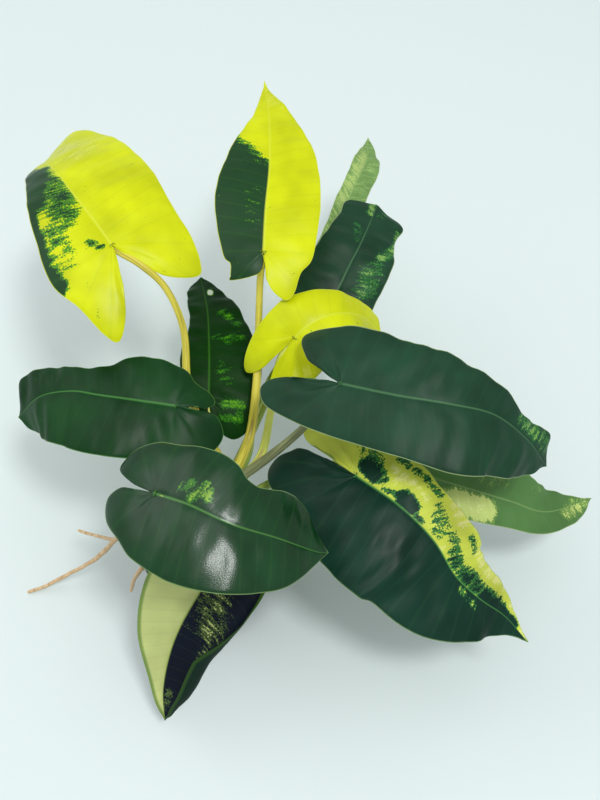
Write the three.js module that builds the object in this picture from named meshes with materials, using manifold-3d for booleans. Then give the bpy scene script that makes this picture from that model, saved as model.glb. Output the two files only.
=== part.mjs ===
import * as THREE from 'three';
import { mergeVertices } from 'three/addons/utils/BufferGeometryUtils.js';
import Module from 'manifold-3d';

// A variegated philodendron in a plain nursery pot. Millimetres, +Z up, origin at the centre of the
// pot's flat base. The plant has one short leaning stem, twelve leaves on long stalks, and two
// aerial roots that reach over the pot's rim.

// Driving dimensions of the pot and what fills it
const POT_HEIGHT = 85;
const POT_BASE_RADIUS = 35;
const POT_RIM_RADIUS = 43;
const POT_WALL = 1.6;
const POT_FLOOR = 2.4;
const BASE_CHAMFER = 1.5;
const RIM_BAND_HEIGHT = 11;
const RIM_BAND_STEP = 2.2;
const RIM_WIDTH = 2.8;
const DRAIN_HOLE_RADIUS = 4;
const DRAIN_HOLE_COUNT = 6;
const DRAIN_HOLE_RING_RADIUS = 25;
const SOIL_LEVEL = 76;
const SOIL_MOUND = 2.5;
const SOIL_BUMP = 0.9;
const POT_SIDES = 40;

// Driving dimensions of the plant
const STEM_RADIUS = 7;
const BLADE_THICKNESS = 0.7;
const MIDRIB_DEPTH = 1.5;
const MIDRIB_TAPER = 0.7;
const VEIN_SWEEP = 1.2;
const STALK_BASE_RADIUS = 3.3;
const STALK_TOP_RADIUS = 2.1;
const STALK_SIDES = 7;
const STALK_STEP = 13;
const STALK_RUN_UNDER_RIB = 12;
const STALK_END_SHARE = 0.7;
const ROOT_SIDES = 6;
const ROOT_STEP = 8;
const CLEARANCE = 0.3;

// Points per spline span of a leaf's outline, and where the rows of a blade lie between the midrib
// (0) and the margin (1)
const POINTS_PER_SPAN = 2;
const BLADE_ROWS = [0, 0.36, 0.72, 1];
const ROLLED_BLADE_ROWS = [0, 0.25, 0.5, 0.75, 1];

const wasm = await Module();
wasm.setup();

const part = new THREE.Group();

const vector = ([x, y, z]) => new THREE.Vector3(x, y, z);

// Catmull-Rom curve through points given as [x, y, z]
function curveThrough(points) {
  return new THREE.CatmullRomCurve3(points.map(vector), false, 'catmullrom', 0.5);
}

// Value at t (0 to 1) of a list of evenly spaced keys, numbers or vectors
function between(keys, t) {
  const place = THREE.MathUtils.clamp(t, 0, 1) * (keys.length - 1);
  const index = Math.min(Math.floor(place), keys.length - 2);
  const share = place - index;
  if (typeof keys[0] === 'number') return THREE.MathUtils.lerp(keys[index], keys[index + 1], share);
  return vector(keys[index]).lerp(vector(keys[index + 1]), share);
}

// Closed mesh as a solid for joining and cutting
function toSolid(geometry) {
  const bare = geometry.clone();
  bare.deleteAttribute('normal');
  bare.deleteAttribute('uv');
  const merged = mergeVertices(bare, 1e-4);
  const vertProperties = Float32Array.from(merged.attributes.position.array);
  const triVerts = Uint32Array.from(merged.index.array);
  return new wasm.Manifold(new wasm.Mesh({ numProp: 3, vertProperties, triVerts }));
}

function toGeometry(solid) {
  const { vertProperties, triVerts } = solid.getMesh();
  const geometry = new THREE.BufferGeometry();
  geometry.setAttribute('position', new THREE.BufferAttribute(vertProperties, 3));
  geometry.setIndex(new THREE.BufferAttribute(triVerts, 1));
  geometry.computeVertexNormals();
  return geometry;
}

// Rounding a fused solid to 32 bits can part a sliver from it, so only its largest body is kept
function addPart(name, solid, { color, roughness }) {
  const rounded = new wasm.Manifold(solid.getMesh());
  const [largest] = rounded.decompose().sort((a, b) => b.volume() - a.volume());
  const material = new THREE.MeshStandardMaterial({ color, roughness, metalness: 0, flatShading: true });
  const mesh = new THREE.Mesh(toGeometry(largest), material);
  mesh.name = name;
  part.add(mesh);
}

function geometryFrom(vertices, triangles) {
  const geometry = new THREE.BufferGeometry();
  const numbers = vertices.flatMap((vertex) => vertex.toArray());
  geometry.setAttribute('position', new THREE.Float32BufferAttribute(numbers, 3));
  geometry.setIndex(triangles.flat());
  return geometry;
}

// Round tube along a curve, closed at both ends. radiusAt gives the radius for t from 0 to 1, and
// overrun is how far each end goes past the curve.
function tube(curve, radiusAt, sides, steps, overrun = 0) {
  const { tangents, normals, binormals } = curve.computeFrenetFrames(steps, false);
  const vertices = [];
  for (let i = 0; i <= steps; i++) {
    const centre = curve.getPointAt(i / steps);
    const radius = radiusAt(i / steps);
    if (i === 0) centre.addScaledVector(tangents[i], -overrun);
    if (i === steps) centre.addScaledVector(tangents[i], overrun);
    for (let k = 0; k < sides; k++) {
      const angle = (2 * Math.PI * k) / sides;
      vertices.push(centre.clone()
        .addScaledVector(normals[i], radius * Math.cos(angle))
        .addScaledVector(binormals[i], radius * Math.sin(angle)));
    }
  }
  const triangles = [];
  for (let i = 0; i < steps; i++) {
    for (let k = 0; k < sides; k++) {
      const [a, b] = [i * sides + k, i * sides + (k + 1) % sides];
      triangles.push([a, b, b + sides], [a, b + sides, a + sides]);
    }
  }
  const last = steps * sides;
  for (let k = 1; k < sides - 1; k++) {
    triangles.push([0, k + 1, k], [last, last + k, last + k + 1]);
  }
  return toSolid(geometryFrom(vertices, triangles));
}

// The stem leans away from the pot's centre. Old leaf scars ring it every few millimetres.
const STEM_POINTS = [[-1, 1, 46], [0, 2, 66], [4, 7, 86], [12, 15, 106], [21, 23, 124]];
const STEM_STEPS = 18;
const RING_HEIGHT = 0.5;
const stemCurve = curveThrough(STEM_POINTS);

function stemSolid(extra) {
  const radiusAt = (t) => {
    const taper = THREE.MathUtils.lerp(0.8, 1, Math.min(t * 3, 1)) * THREE.MathUtils.lerp(1, 0.8, t * t);
    return STEM_RADIUS * taper + RING_HEIGHT * Math.cos(t * STEM_STEPS * Math.PI) + extra;
  };
  return tube(stemCurve, radiusAt, 12, STEM_STEPS, extra);
}

const stem = stemSolid(0);
const stemSpace = stemSolid(CLEARANCE);

// Half outline of a heart-shaped blade, in the blade's own plane: x along the midrib from the point
// where the stalk joins (0) to the tip, y out from the midrib. It runs from the joint round the back
// lobe and along the margin to the tip. widths are the half widths at 0, 1/4, 1/2, 3/4 and 0.92 of
// the midrib. lobe is how far the lobe reaches back, notch the gap beside the stalk as a share of
// the first width, round the share of that width where the lobe reaches furthest back, and full how
// far the lobe's outer side bulges: 1 is round, and less is more pointed.
function halfOutline({ widths, lobe, round, notch, full }, length) {
  const [w0, w25, w50, w75, w92] = widths;
  const bulge = (share) => (round + share * full * (1 - round)) * w0;
  const points = [
    [0, 0], [-0.38 * lobe, 0.42 * notch * w0], [-0.76 * lobe, notch * w0], [-lobe, round * w0],
    [-0.84 * lobe, bulge(0.55)], [-0.42 * lobe, bulge(0.92)],
    [0, w0], [0.25 * length, w25], [0.5 * length, w50], [0.75 * length, w75],
    [0.92 * length, w92], [0.975 * length, 0.28 * w92], [length, 0],
  ];
  const flat = curveThrough(points.map(([x, y]) => [x, y, 0]));
  return flat.getPoints((points.length - 1) * POINTS_PER_SPAN);
}

// The midrib: position, direction and the way the upper face looks, at a distance from the joint
function midribFrame(leaf, distance) {
  const share = THREE.MathUtils.clamp(distance / leaf.length, 0, 1);
  const along = leaf.midrib.getTangentAt(share);
  const up = between(leaf.face, share);
  up.addScaledVector(along, -up.dot(along)).normalize();
  return { place: leaf.midrib.getPointAt(share), along, up };
}

// How far a cross-section of half width reach has moved out and up at share v of that width, when
// it leaves the midrib at angle fold and its slope turns by curl by the margin
function crossSection(reach, v, fold, curl, roll) {
  const steps = 16;
  let out = 0;
  let up = 0;
  for (let k = 0; k < steps; k++) {
    const angle = fold + curl * (v * (k + 0.5) / steps) ** roll;
    out += Math.cos(angle) * reach / steps;
    up += Math.sin(angle) * reach / steps;
  }
  return { out, up };
}

// Points of one half of the blade: a row of rays, each with a point for every entry of rows. Rays
// leave the midrib slanting towards the tip, as the side veins do, and fan round the back lobe.
function halfBlade(leaf, half, hand) {
  const bend = THREE.MathUtils.degToRad(half.bend);
  return halfOutline(half, leaf.length).map((point) => {
    const share = THREE.MathUtils.clamp(point.x / leaf.length, 0, 1);
    const foot = leaf.length * share ** VEIN_SWEEP;
    return leaf.rows.map((v) => {
      const x = foot + v * (point.x - foot);
      const { place, along, up } = midribFrame(leaf, x);
      const side = along.clone().cross(up).multiplyScalar(hand);
      if (x < 0) {
        const turn = bend * (-x / half.lobe);
        const radius = half.lobe / bend;
        place.addScaledVector(along, -radius * Math.sin(turn));
        place.addScaledVector(up, radius * (1 - Math.cos(turn)));
        up.multiplyScalar(Math.cos(turn)).addScaledVector(along, Math.sin(turn));
      }
      const fold = THREE.MathUtils.degToRad(between(half.fold, x / leaf.length));
      const curl = THREE.MathUtils.degToRad(between(half.curl, x / leaf.length));
      const section = crossSection(v * Math.max(point.y, 0), v, fold, curl, half.roll);
      return place.addScaledVector(side, section.out).addScaledVector(up, section.up);
    });
  });
}

// Thin closed solid of the blade: both faces share one net of triangles, offset to each side of it,
// with the midrib standing out below
function bladeSolid(leaf) {
  const net = [];
  const ridge = [];
  const numbers = new Map();
  const number = (key, point, depth) => {
    if (!numbers.has(key)) {
      numbers.set(key, net.length);
      net.push(point);
      ridge.push(depth);
    }
    return numbers.get(key);
  };
  const triangles = [];
  const rim = [];
  for (const [half, hand] of [[leaf.right, 1], [leaf.left, -1]]) {
    const rays = halfBlade(leaf, half, hand);
    const lastRay = rays.length - 1;
    const lastRow = leaf.rows.length - 1;
    const firstFoot = halfOutline(half, leaf.length).findIndex((point) => point.x > 1e-6);
    const vertex = (i, j) => {
      if (i === 0 || (j === 0 && i < firstFoot)) return number('joint', rays[0][0], MIDRIB_DEPTH);
      if (i === lastRay) return number('tip', rays[lastRay][0], 0);
      if (j === 0) {
        const left = 1 - (i - firstFoot + 1) / (lastRay - firstFoot + 1);
        const depth = MIDRIB_DEPTH * left ** MIDRIB_TAPER;
        return number(`rib${i}`, rays[i][0], depth);
      }
      return number(`${hand}/${i}/${j}`, rays[i][j], 0);
    };
    for (let i = 0; i < lastRay; i++) {
      for (let j = 0; j < lastRow; j++) {
        const [a, b, c, d] = [vertex(i, j), vertex(i + 1, j), vertex(i + 1, j + 1), vertex(i, j + 1)];
        for (const face of [[a, b, c], [a, c, d]]) {
          if (new Set(face).size === 3) triangles.push(hand < 0 ? face : face.reverse());
        }
      }
      const edge = [vertex(i, lastRow), vertex(i + 1, lastRow)];
      rim.push(hand < 0 ? edge : edge.reverse());
    }
  }
  const flat = geometryFrom(net, triangles);
  flat.computeVertexNormals();
  const normals = flat.attributes.normal;
  const count = net.length;
  const vertices = [];
  for (const face of [1, -1]) {
    net.forEach((point, i) => {
      const offset = BLADE_THICKNESS / 2 + (face < 0 ? ridge[i] : 0);
      const normal = new THREE.Vector3().fromBufferAttribute(normals, i);
      vertices.push(point.clone().addScaledVector(normal, face * offset));
    });
  }
  const closed = [];
  for (const [a, b, c] of triangles) closed.push([a, b, c], [c + count, b + count, a + count]);
  for (const [a, b] of rim) closed.push([a, b, b + count], [a, b + count, a + count]);
  return toSolid(geometryFrom(vertices, closed));
}

// The stalk starts on the stem's axis, follows its points, and runs on thinner under the midrib
function stalkSolid(leaf, stalk) {
  const start = stemCurve.getPointAt(stalk.from).toArray();
  const under = (distance, depth) => {
    const { place, up } = midribFrame(leaf, distance);
    return place.addScaledVector(up, -depth).toArray();
  };
  const joint = under(0, STALK_TOP_RADIUS);
  const end = under(STALK_RUN_UNDER_RIB, STALK_TOP_RADIUS * STALK_END_SHARE);
  const curve = curveThrough([start, ...stalk.through, joint, end]);
  const steps = Math.round(curve.getLength() / STALK_STEP);
  const radiusAt = (t) => {
    const taper = THREE.MathUtils.lerp(STALK_BASE_RADIUS, STALK_TOP_RADIUS, Math.min(1, t * 1.6));
    return t === 1 ? STALK_TOP_RADIUS * STALK_END_SHARE : taper;
  };
  return tube(curve, radiusAt, STALK_SIDES, steps);
}

// Shape that a half blade has where a leaf's own description doesn't say otherwise. Angles are in
// degrees: fold lifts the half from the midrib, curl lowers its margin, bend lowers its back lobe.
const USUAL_HALF = {
  round: 0.5, notch: 0.2, full: 1, bend: -25, roll: 1, fold: [6, 6], curl: [-25, -20],
};

function addLeaf(name, look, { midrib, face, right, left, stalk, rolled = false }) {
  const curve = curveThrough(midrib);
  const leaf = {
    midrib: curve,
    length: curve.getLength(),
    face,
    rows: rolled ? ROLLED_BLADE_ROWS : BLADE_ROWS,
    right: { ...USUAL_HALF, ...right },
    left: { ...USUAL_HALF, ...left },
  };
  const whole = bladeSolid(leaf).add(stalkSolid(leaf, stalk));
  addPart(name, whole.subtract(stemSpace), look);
}

// Looks
const DARK_LEAF = { color: 0x17452b, roughness: 0.3 };
const LIME_LEAF = { color: 0xc3d414, roughness: 0.35 };
const GREY_GREEN_LEAF = { color: 0x5f8c4f, roughness: 0.45 };
const PALE_LEAF = { color: 0xb9c76a, roughness: 0.45 };
const STEM_BARK = { color: 0x6d7a35, roughness: 0.6 };
const ROOT_SKIN = { color: 0xc9935a, roughness: 0.7 };
const POTTING_MIX = { color: 0x3b2a1e, roughness: 0.95 };
const POT_PLASTIC = { color: 0x26282b, roughness: 0.5 };

// Leaves, by where they stand as seen from the front. A right half is on the right hand of someone
// who looks from the stalk to the tip with the upper face towards them.
addLeaf('leaf_upper_left', LIME_LEAF, {
  midrib: [
    [-50, 127, 210], [-61, 142, 213], [-74, 161, 212], [-90, 188, 203], [-104, 212, 186],
    [-110, 220, 163],
  ],
  face: [[0.2, -0.35, 1], [-0.1, -0.1, 1]],
  right: { widths: [45, 49, 48, 42, 31], lobe: 42, round: 0.75, notch: 0.37 },
  left: { widths: [42, 34, 25, 16, 8], lobe: 51, round: 0.65, notch: 0.37, full: 0.7 },
  stalk: {
    from: 0.93,
    through: [
      [10, 34, 122], [-1, 50, 134], [-8, 68, 150], [-10, 94, 170], [-19, 109, 191], [-33, 117, 204],
    ],
  },
});

addLeaf('leaf_upper_centre', LIME_LEAF, {
  midrib: [[38, 130, 200], [39, 157, 206], [41, 191, 208], [40, 230, 206], [36, 272, 198]],
  face: [[0, -0.2, 1], [0, -0.1, 1]],
  right: { widths: [30, 33, 28, 14, 3], lobe: 29, round: 0.47, notch: 0.17, full: 0.6 },
  left: { widths: [25, 32, 27, 10, 2], lobe: 18, round: 0.75, notch: 0.1, full: 0.2 },
  stalk: {
    from: 0.98,
    through: [[29, 48, 124], [33, 74, 142], [34, 97, 156], [35, 114, 174], [36, 122, 188]],
  },
});

addLeaf('leaf_left', DARK_LEAF, {
  midrib: [[-12, 42, 170], [-34, 44, 173], [-56, 48, 172], [-74, 53, 168], [-95, 56, 156], [-111, 54, 136]],
  face: [[0, -0.2, 1], [0, -0.1, 1]],
  right: { widths: [25, 28, 16, 19, 19], lobe: 24, round: 0.3, notch: 0.1, full: 0.6 },
  left: { widths: [32, 35, 34, 27, 15], lobe: 31, round: 0.35, notch: 0.05 },
  stalk: { from: 0.87, through: [[2, 25, 122], [0, 34, 145], [-4, 39, 163]] },
});

addLeaf('leaf_front', DARK_LEAF, {
  midrib: [[-17, -23, 190], [1, -31, 194], [24, -41, 191], [47, -44, 180], [67, -45, 164], [75, -43, 156]],
  face: [[-0.2, -0.2, 1], [0.3, -0.1, 1]],
  right: { widths: [37, 41, 35, 25, 6], lobe: 33, round: 0.25, notch: 0.05, full: 0.8 },
  left: { widths: [30, 33, 25, 27, 12], lobe: 33, round: 0.33, notch: 0.15 },
  stalk: { from: 0.95, through: [[10, 8, 132], [-4, -6, 152], [-15, -17, 174]] },
});

addLeaf('leaf_hanging_front', PALE_LEAF, {
  midrib: [[14, -26, 114], [1, -43, 100], [-12, -58, 80], [-20, -71, 62], [-25, -87, 42], [-25, -101, 24]],
  face: [[0, -0.9, 0.45], [0, -1, 0.3]],
  right: { widths: [33, 33, 24, 10, 4], lobe: 24, curl: [-10, -10] },
  left: { widths: [34, 42, 44, 36, 15], lobe: 24, curl: [50, 220, 225], roll: 2.2 },
  stalk: { from: 0.55, through: [[4, -8, 96], [8, -20, 108]] },
  rolled: true,
});

addLeaf('leaf_lower_right', DARK_LEAF, {
  midrib: [
    [92, 7, 150], [116, -13, 152], [135, -30, 143], [148, -46, 129], [163, -55, 116], [179, -61, 103],
    [193, -72, 90],
  ],
  face: [[-0.1, -0.2, 1], [0.3, -0.2, 1]],
  right: { widths: [49, 55, 47, 24, 6], lobe: 62, round: 0.4, notch: 0.1, full: 0.7, bend: -40 },
  left: { widths: [33, 26, 25, 18, 4], lobe: 58, round: 0.7, notch: 0.1, full: 0.9 },
  stalk: { from: 0.76, through: [[26, 8, 112], [50, 12, 130], [78, 9, 146]] },
});

addLeaf('leaf_right', DARK_LEAF, {
  midrib: [[82, 39, 200], [112, 28, 206], [141, 23, 205], [166, 22, 195], [187, 17, 175], [201, 11, 154]],
  face: [[-0.1, -0.2, 1], [0.3, -0.2, 1]],
  right: { widths: [30, 33, 38, 30, 15], lobe: 52, round: 0.28, notch: 0.05, full: 0.9 },
  left: { widths: [37, 34, 27, 12, 15], lobe: 37, round: 0.7, notch: 0.35, full: 0.9 },
  stalk: { from: 0.87, through: [[36, 27, 127], [60, 32, 159], [75, 37, 187]] },
});

addLeaf('leaf_far_right', GREY_GREEN_LEAF, {
  midrib: [[125, 33, 106], [160, 21, 106], [190, 16, 96], [216, 15, 82], [250, 32, 66]],
  face: [[0, -0.2, 1], [0.3, -0.2, 1]],
  right: { widths: [24, 20, 17, 13, 8], lobe: 30 },
  left: { widths: [24, 26, 24, 16, 3], lobe: 30 },
  stalk: { from: 0.57, through: [[26, 18, 98], [60, 32, 107], [100, 38, 106]] },
});

addLeaf('leaf_centre', LIME_LEAF, {
  midrib: [[57, 86, 175], [63, 90, 180], [75, 96, 182], [87, 101, 178], [98, 105, 168], [109, 106, 151]],
  face: [[0, -0.2, 1], [0.3, -0.2, 1]],
  right: { widths: [26, 30, 28, 24, 12], lobe: 42, round: 0.35, notch: 0.15 },
  left: { widths: [24, 21, 15, 10, 8], lobe: 43, notch: 0.2 },
  stalk: { from: 0.8, through: [[34, 39, 108], [41, 66, 118], [44, 74, 137], [48, 81, 160]] },
});

addLeaf('leaf_back_right', DARK_LEAF, {
  midrib: [[74, 122, 138], [83, 138, 148], [91, 154, 154], [100, 173, 157], [111, 207, 150]],
  face: [[0, -0.2, 1], [0.3, -0.2, 1]],
  right: { widths: [24, 26, 26, 21, 22], lobe: 26 },
  left: { widths: [27, 27, 25, 21, 20], lobe: 26, round: 0.5 },
  stalk: { from: 0.68, through: [[26, 45, 99], [30, 71, 104], [43, 101, 111], [60, 117, 124]] },
});

addLeaf('leaf_far_back', GREY_GREEN_LEAF, {
  midrib: [
    [75, 185, 110], [84, 206, 120], [91, 226, 127], [100, 249, 128], [107, 270, 125], [109, 297, 118],
  ],
  face: [[0, -0.2, 1], [0.3, -0.2, 1]],
  right: { widths: [14, 12, 12, 11, 5], lobe: 20 },
  left: { widths: [11, 9, 8, 9, 3], lobe: 20 },
  stalk: { from: 0.5, through: [[16, 38, 89], [38, 90, 95], [62, 150, 102]] },
});

addLeaf('leaf_back_left', DARK_LEAF, {
  midrib: [[3, 70, 130], [3, 87, 135], [2, 108, 135], [-1, 139, 128], [-8, 174, 114]],
  face: [[0, -0.2, 1], [0, -0.2, 1]],
  right: { widths: [31, 33, 25, 15, 6], lobe: 26 },
  left: { widths: [17, 19, 13, 12, 10], lobe: 22 },
  stalk: { from: 0.81, through: [[7, 38, 110], [4, 56, 121]] },
});

// Aerial roots, as points from the stem outwards with the radius at the stem and at the end
const LONG_ROOT = {
  points: [
    [5, 8, 89], [-12, 5, 93], [-30, 2, 95], [-46, 1, 90], [-58, 2, 68], [-75, -1, 42], [-100, -3, 16],
    [-115, -6, 5], [-127, -9, 1.6],
  ],
  radii: [2, 1.1],
};
const ROOT_BRANCH = {
  points: [[-58, 2, 68], [-65, 7, 58], [-78, 13, 51], [-87, 17, 48]],
  radii: [1.2, 0.9],
};
const SHORT_ROOT = {
  points: [
    [3, 6, 84], [-8, -4, 87], [-20, -14, 91], [-35, -26, 92], [-42, -29, 80], [-46, -28, 62],
    [-48, -27, 53],
  ],
  radii: [1.8, 1],
};

function rootSolid({ points, radii }) {
  const curve = curveThrough(points);
  const radiusAt = (t) => THREE.MathUtils.lerp(radii[0], radii[1], t);
  return tube(curve, radiusAt, ROOT_SIDES, Math.round(curve.getLength() / ROOT_STEP));
}

addPart('stem', stem, STEM_BARK);
const longRoot = rootSolid(LONG_ROOT).add(rootSolid(ROOT_BRANCH));
addPart('aerial_root_long', longRoot.subtract(stemSpace), ROOT_SKIN);
addPart('aerial_root_short', rootSolid(SHORT_ROOT).subtract(stemSpace), ROOT_SKIN);

// Outer radius of the pot's tapered wall at a height
const bandBottom = POT_HEIGHT - RIM_BAND_HEIGHT;
const wallRadius = (z) => {
  return THREE.MathUtils.lerp(POT_BASE_RADIUS, POT_RIM_RADIUS - RIM_BAND_STEP, z / bandBottom);
};

function lathe(profile) {
  const geometry = new THREE.LatheGeometry(profile.map(([r, z]) => new THREE.Vector2(r, z)), POT_SIDES);
  return geometry.rotateX(Math.PI / 2);
}

// Pot: tapered wall, thicker rim band, flat floor with drainage holes near its edge
function potSolid() {
  const bandFoot = bandBottom + 0.8;
  const profile = [
    [0, 0], [POT_BASE_RADIUS - BASE_CHAMFER, 0], [wallRadius(BASE_CHAMFER), BASE_CHAMFER],
    [wallRadius(bandBottom), bandBottom], [POT_RIM_RADIUS - 0.6, bandFoot],
    [POT_RIM_RADIUS, POT_HEIGHT - 1], [POT_RIM_RADIUS - 1, POT_HEIGHT],
    [POT_RIM_RADIUS - RIM_WIDTH, POT_HEIGHT], [wallRadius(bandBottom) - POT_WALL, bandBottom],
    [wallRadius(POT_FLOOR) - POT_WALL, POT_FLOOR], [0, POT_FLOOR],
  ];
  let pot = toSolid(lathe(profile));
  for (let k = 0; k < DRAIN_HOLE_COUNT; k++) {
    const angle = (2 * Math.PI * k) / DRAIN_HOLE_COUNT;
    const hole = new THREE.CylinderGeometry(DRAIN_HOLE_RADIUS, DRAIN_HOLE_RADIUS, 3 * POT_FLOOR, 12);
    hole.rotateX(Math.PI / 2);
    hole.translate(DRAIN_HOLE_RING_RADIUS * Math.cos(angle), DRAIN_HOLE_RING_RADIUS * Math.sin(angle), 0);
    pot = pot.subtract(toSolid(hole));
  }
  return pot;
}

// Potting mix: fills the pot to below the rim, its top slightly uneven
function soilSolid() {
  const inside = (z) => wallRadius(z) - POT_WALL - CLEARANCE;
  const bottom = POT_FLOOR + CLEARANCE;
  const shoulder = SOIL_LEVEL - 3;
  const profile = [[0, bottom], [inside(bottom), bottom], [inside(shoulder), shoulder]];
  for (const share of [0.96, 0.8, 0.6, 0.4, 0.2, 0]) profile.push([inside(shoulder) * share, SOIL_LEVEL]);
  const geometry = lathe(profile);
  const position = geometry.attributes.position;
  for (let i = 0; i < position.count; i++) {
    const [x, y, z] = [position.getX(i), position.getY(i), position.getZ(i)];
    const mound = SOIL_MOUND * (1 - Math.hypot(x, y) / inside(shoulder));
    const bump = SOIL_BUMP * Math.sin(x / 5) * Math.cos(y / 6 + 1);
    if (z > shoulder) position.setZ(i, z + mound + bump);
  }
  return toSolid(geometry).subtract(stemSpace);
}

addPart('potting_mix', soilSolid(), POTTING_MIX);
addPart('pot', potSolid(), POT_PLASTIC);

export default part;
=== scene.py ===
# %% [markdown]
# # A potted variegated philodendron
#
# This lesson dresses a house plant: twelve heart-shaped leaves, half dark green and half lime, on
# stalks from one short stem, with two aerial roots, in a plain nursery pot. The solid model of the
# plant is already there as a frame. Each of its solids is plain, so each is replaced here by a finer
# surface of the same form.
#
# The script starts with the frame.

# %% The frame
import math

import bpy
import numpy as np
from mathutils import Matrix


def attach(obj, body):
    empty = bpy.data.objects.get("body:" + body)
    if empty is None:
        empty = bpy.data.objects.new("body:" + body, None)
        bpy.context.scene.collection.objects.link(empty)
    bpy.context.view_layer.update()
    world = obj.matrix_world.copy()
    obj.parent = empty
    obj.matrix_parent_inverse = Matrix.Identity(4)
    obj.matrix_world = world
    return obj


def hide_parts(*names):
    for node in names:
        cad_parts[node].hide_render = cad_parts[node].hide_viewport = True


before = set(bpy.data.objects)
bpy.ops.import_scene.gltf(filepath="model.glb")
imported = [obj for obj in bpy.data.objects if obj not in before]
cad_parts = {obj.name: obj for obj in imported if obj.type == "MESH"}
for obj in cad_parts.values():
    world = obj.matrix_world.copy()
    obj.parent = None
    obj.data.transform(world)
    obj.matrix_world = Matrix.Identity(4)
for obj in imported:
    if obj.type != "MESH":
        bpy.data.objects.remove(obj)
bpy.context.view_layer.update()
MM = 0.001  # sizes are in millimetres unless a comment says otherwise, and Blender's are in metres


def linked(name, data):
    """New object for a mesh, a light or a camera, in the scene and at the origin."""
    made = bpy.data.objects.new(name, data)
    bpy.context.collection.objects.link(made)
    return made


print("solids in the frame:", len(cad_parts))

# %% [markdown]
# ## The camera
#
# The picture looks down on the plant at sixty degrees, from close by, so the leaves that stand
# highest look largest. A camera that is turned about the X axis alone keeps the picture level: its
# turn is ninety degrees less the angle it looks down at. The lens is a little longer than a phone's.

# %% The camera
CAMERA_PLACE_MM = (59.6, -271.6, 719.9)
LOOKS_DOWN_DEG = 60
LENS_MM = 49.5

camera_data = bpy.data.cameras.new("camera")
camera_data.lens = LENS_MM
camera = linked("camera", camera_data)
camera.location = [MM * value for value in CAMERA_PLACE_MM]
camera.rotation_euler = (math.radians(90 - LOOKS_DOWN_DEG), 0, 0)
bpy.context.scene.camera = camera
print("camera at", tuple(round(value, 3) for value in camera.location))

# %% [markdown]
# ## Curves
#
# Midribs, stalks, roots and the outline of a leaf are all smooth curves through a few points. A
# Catmull-Rom curve passes through each point and heads along the line between its two neighbours,
# so a plant's gentle bends need no handles. A path also knows its own length, because leaves are
# measured along the midrib.

# %% Curves
PATH_SAMPLES = 1201


def unit(vectors):
    """Each vector divided by its own length."""
    return vectors / np.maximum(np.linalg.norm(vectors, axis=-1, keepdims=True), 1e-12)


def smooth_curve(points, shares):
    """Catmull-Rom curve. Between neighbours a and b, with p before and q after them, the place is a
    cubic that leaves a along (b - p) / 2 and reaches b along (q - a) / 2. The end points are
    mirrored, so that the first and last spans have a p and a q too."""
    points = np.asarray(points, float)
    first, last = 2 * points[0] - points[1], 2 * points[-1] - points[-2]
    points = np.vstack([first, points, last])
    place = np.clip(shares, 0, 1) * (len(points) - 3)
    index = np.minimum(place.astype(int), len(points) - 4)
    t = (place - index)[..., None]
    p, a, b, q = (points[index + k] for k in range(4))
    square = p - 2.5 * a + 2 * b - 0.5 * q
    cube = 1.5 * (a - b) + 0.5 * (q - p)
    return a + t * (b - p) / 2 + t**2 * square + t**3 * cube


def between(place, spots, values):
    """Numbers or vectors at each place: those at the spots on either side, mixed in proportion."""
    values = np.asarray(values, float)
    if values.ndim == 1:
        return np.interp(place, spots, values)
    return np.stack([np.interp(place, spots, column) for column in values.T], -1)


def blend_keys(keys, share):
    """Value at a share, 0 to 1, of evenly spaced keys."""
    return between(share, np.linspace(0, 1, len(keys)), keys)


class Path:
    """A smooth curve whose places are found by the distance along it, in millimetres."""

    def __init__(self, points):
        self.samples = smooth_curve(points, np.linspace(0, 1, PATH_SAMPLES))
        steps = np.linalg.norm(np.diff(self.samples, axis=0), axis=1)
        self.distances = np.concatenate([[0], np.cumsum(steps)])
        self.length = self.distances[-1]

    def at(self, distance):
        """Place at a distance, between the samples on either side."""
        return between(distance, self.distances, self.samples)

    def direction(self, distance, reach=0.5):
        """Unit vector from the place a reach before the distance to the place a reach after it."""
        return unit(self.at(distance + reach) - self.at(distance - reach))


def smooth_step(value, low, high):
    """0 below low, 1 above high, and 3 s^2 - 2 s^3 of the share s between them."""
    share = np.clip((value - low) / (high - low), 0, 1)
    return share**2 * (3 - 2 * share)


print("a path from (0, 0, 0) to (3, 4, 0) is", Path([(0, 0, 0), (3, 4, 0)]).length.round(3), "long")

# %% [markdown]
# ## From a grid of points to a mesh
#
# Every surface here is a grid of points. A grid of vertex numbers is turned into triangles at once.
# Where the grid closes on itself, or shrinks to a point at a pole, the same number stands in it more
# than once, so seams and poles are closed without merging anything afterwards.

# %% From a grid of points to triangles
def net_triangles(numbers):
    """Cuts each cell of a grid of vertex numbers along one diagonal, and drops each triangle that
    has two equal corners, as cells at a pole do."""
    a, b, c, d = numbers[:-1, :-1], numbers[1:, :-1], numbers[1:, 1:], numbers[:-1, 1:]
    halves = [np.stack([a, b, c], -1), np.stack([a, c, d], -1)]
    triangles = np.concatenate([half.reshape(-1, 3) for half in halves])
    following = np.roll(triangles, 1, axis=1)
    return triangles[(triangles != following).all(axis=1)]


def ring_triangles(rings, sides):
    """Triangles of a row of closed rings, whose first and last rings are each a single point."""
    numbers = np.arange(rings * sides).reshape(rings, sides)
    numbers[0], numbers[-1] = numbers[0, 0], numbers[-1, 0]
    return net_triangles(np.hstack([numbers, numbers[:, :1]]))


def outward(vertices, triangles):
    """Turns a closed shell the right way out: its volume, a sixth of the sum of a . (b x c) over
    all triangles, is above zero when they face outwards."""
    a, b, c = (vertices[triangles[:, k]] for k in range(3))
    volume = np.einsum("ij,ij->i", a, np.cross(b, c)).sum()
    return triangles if volume > 0 else triangles[:, ::-1]


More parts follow.
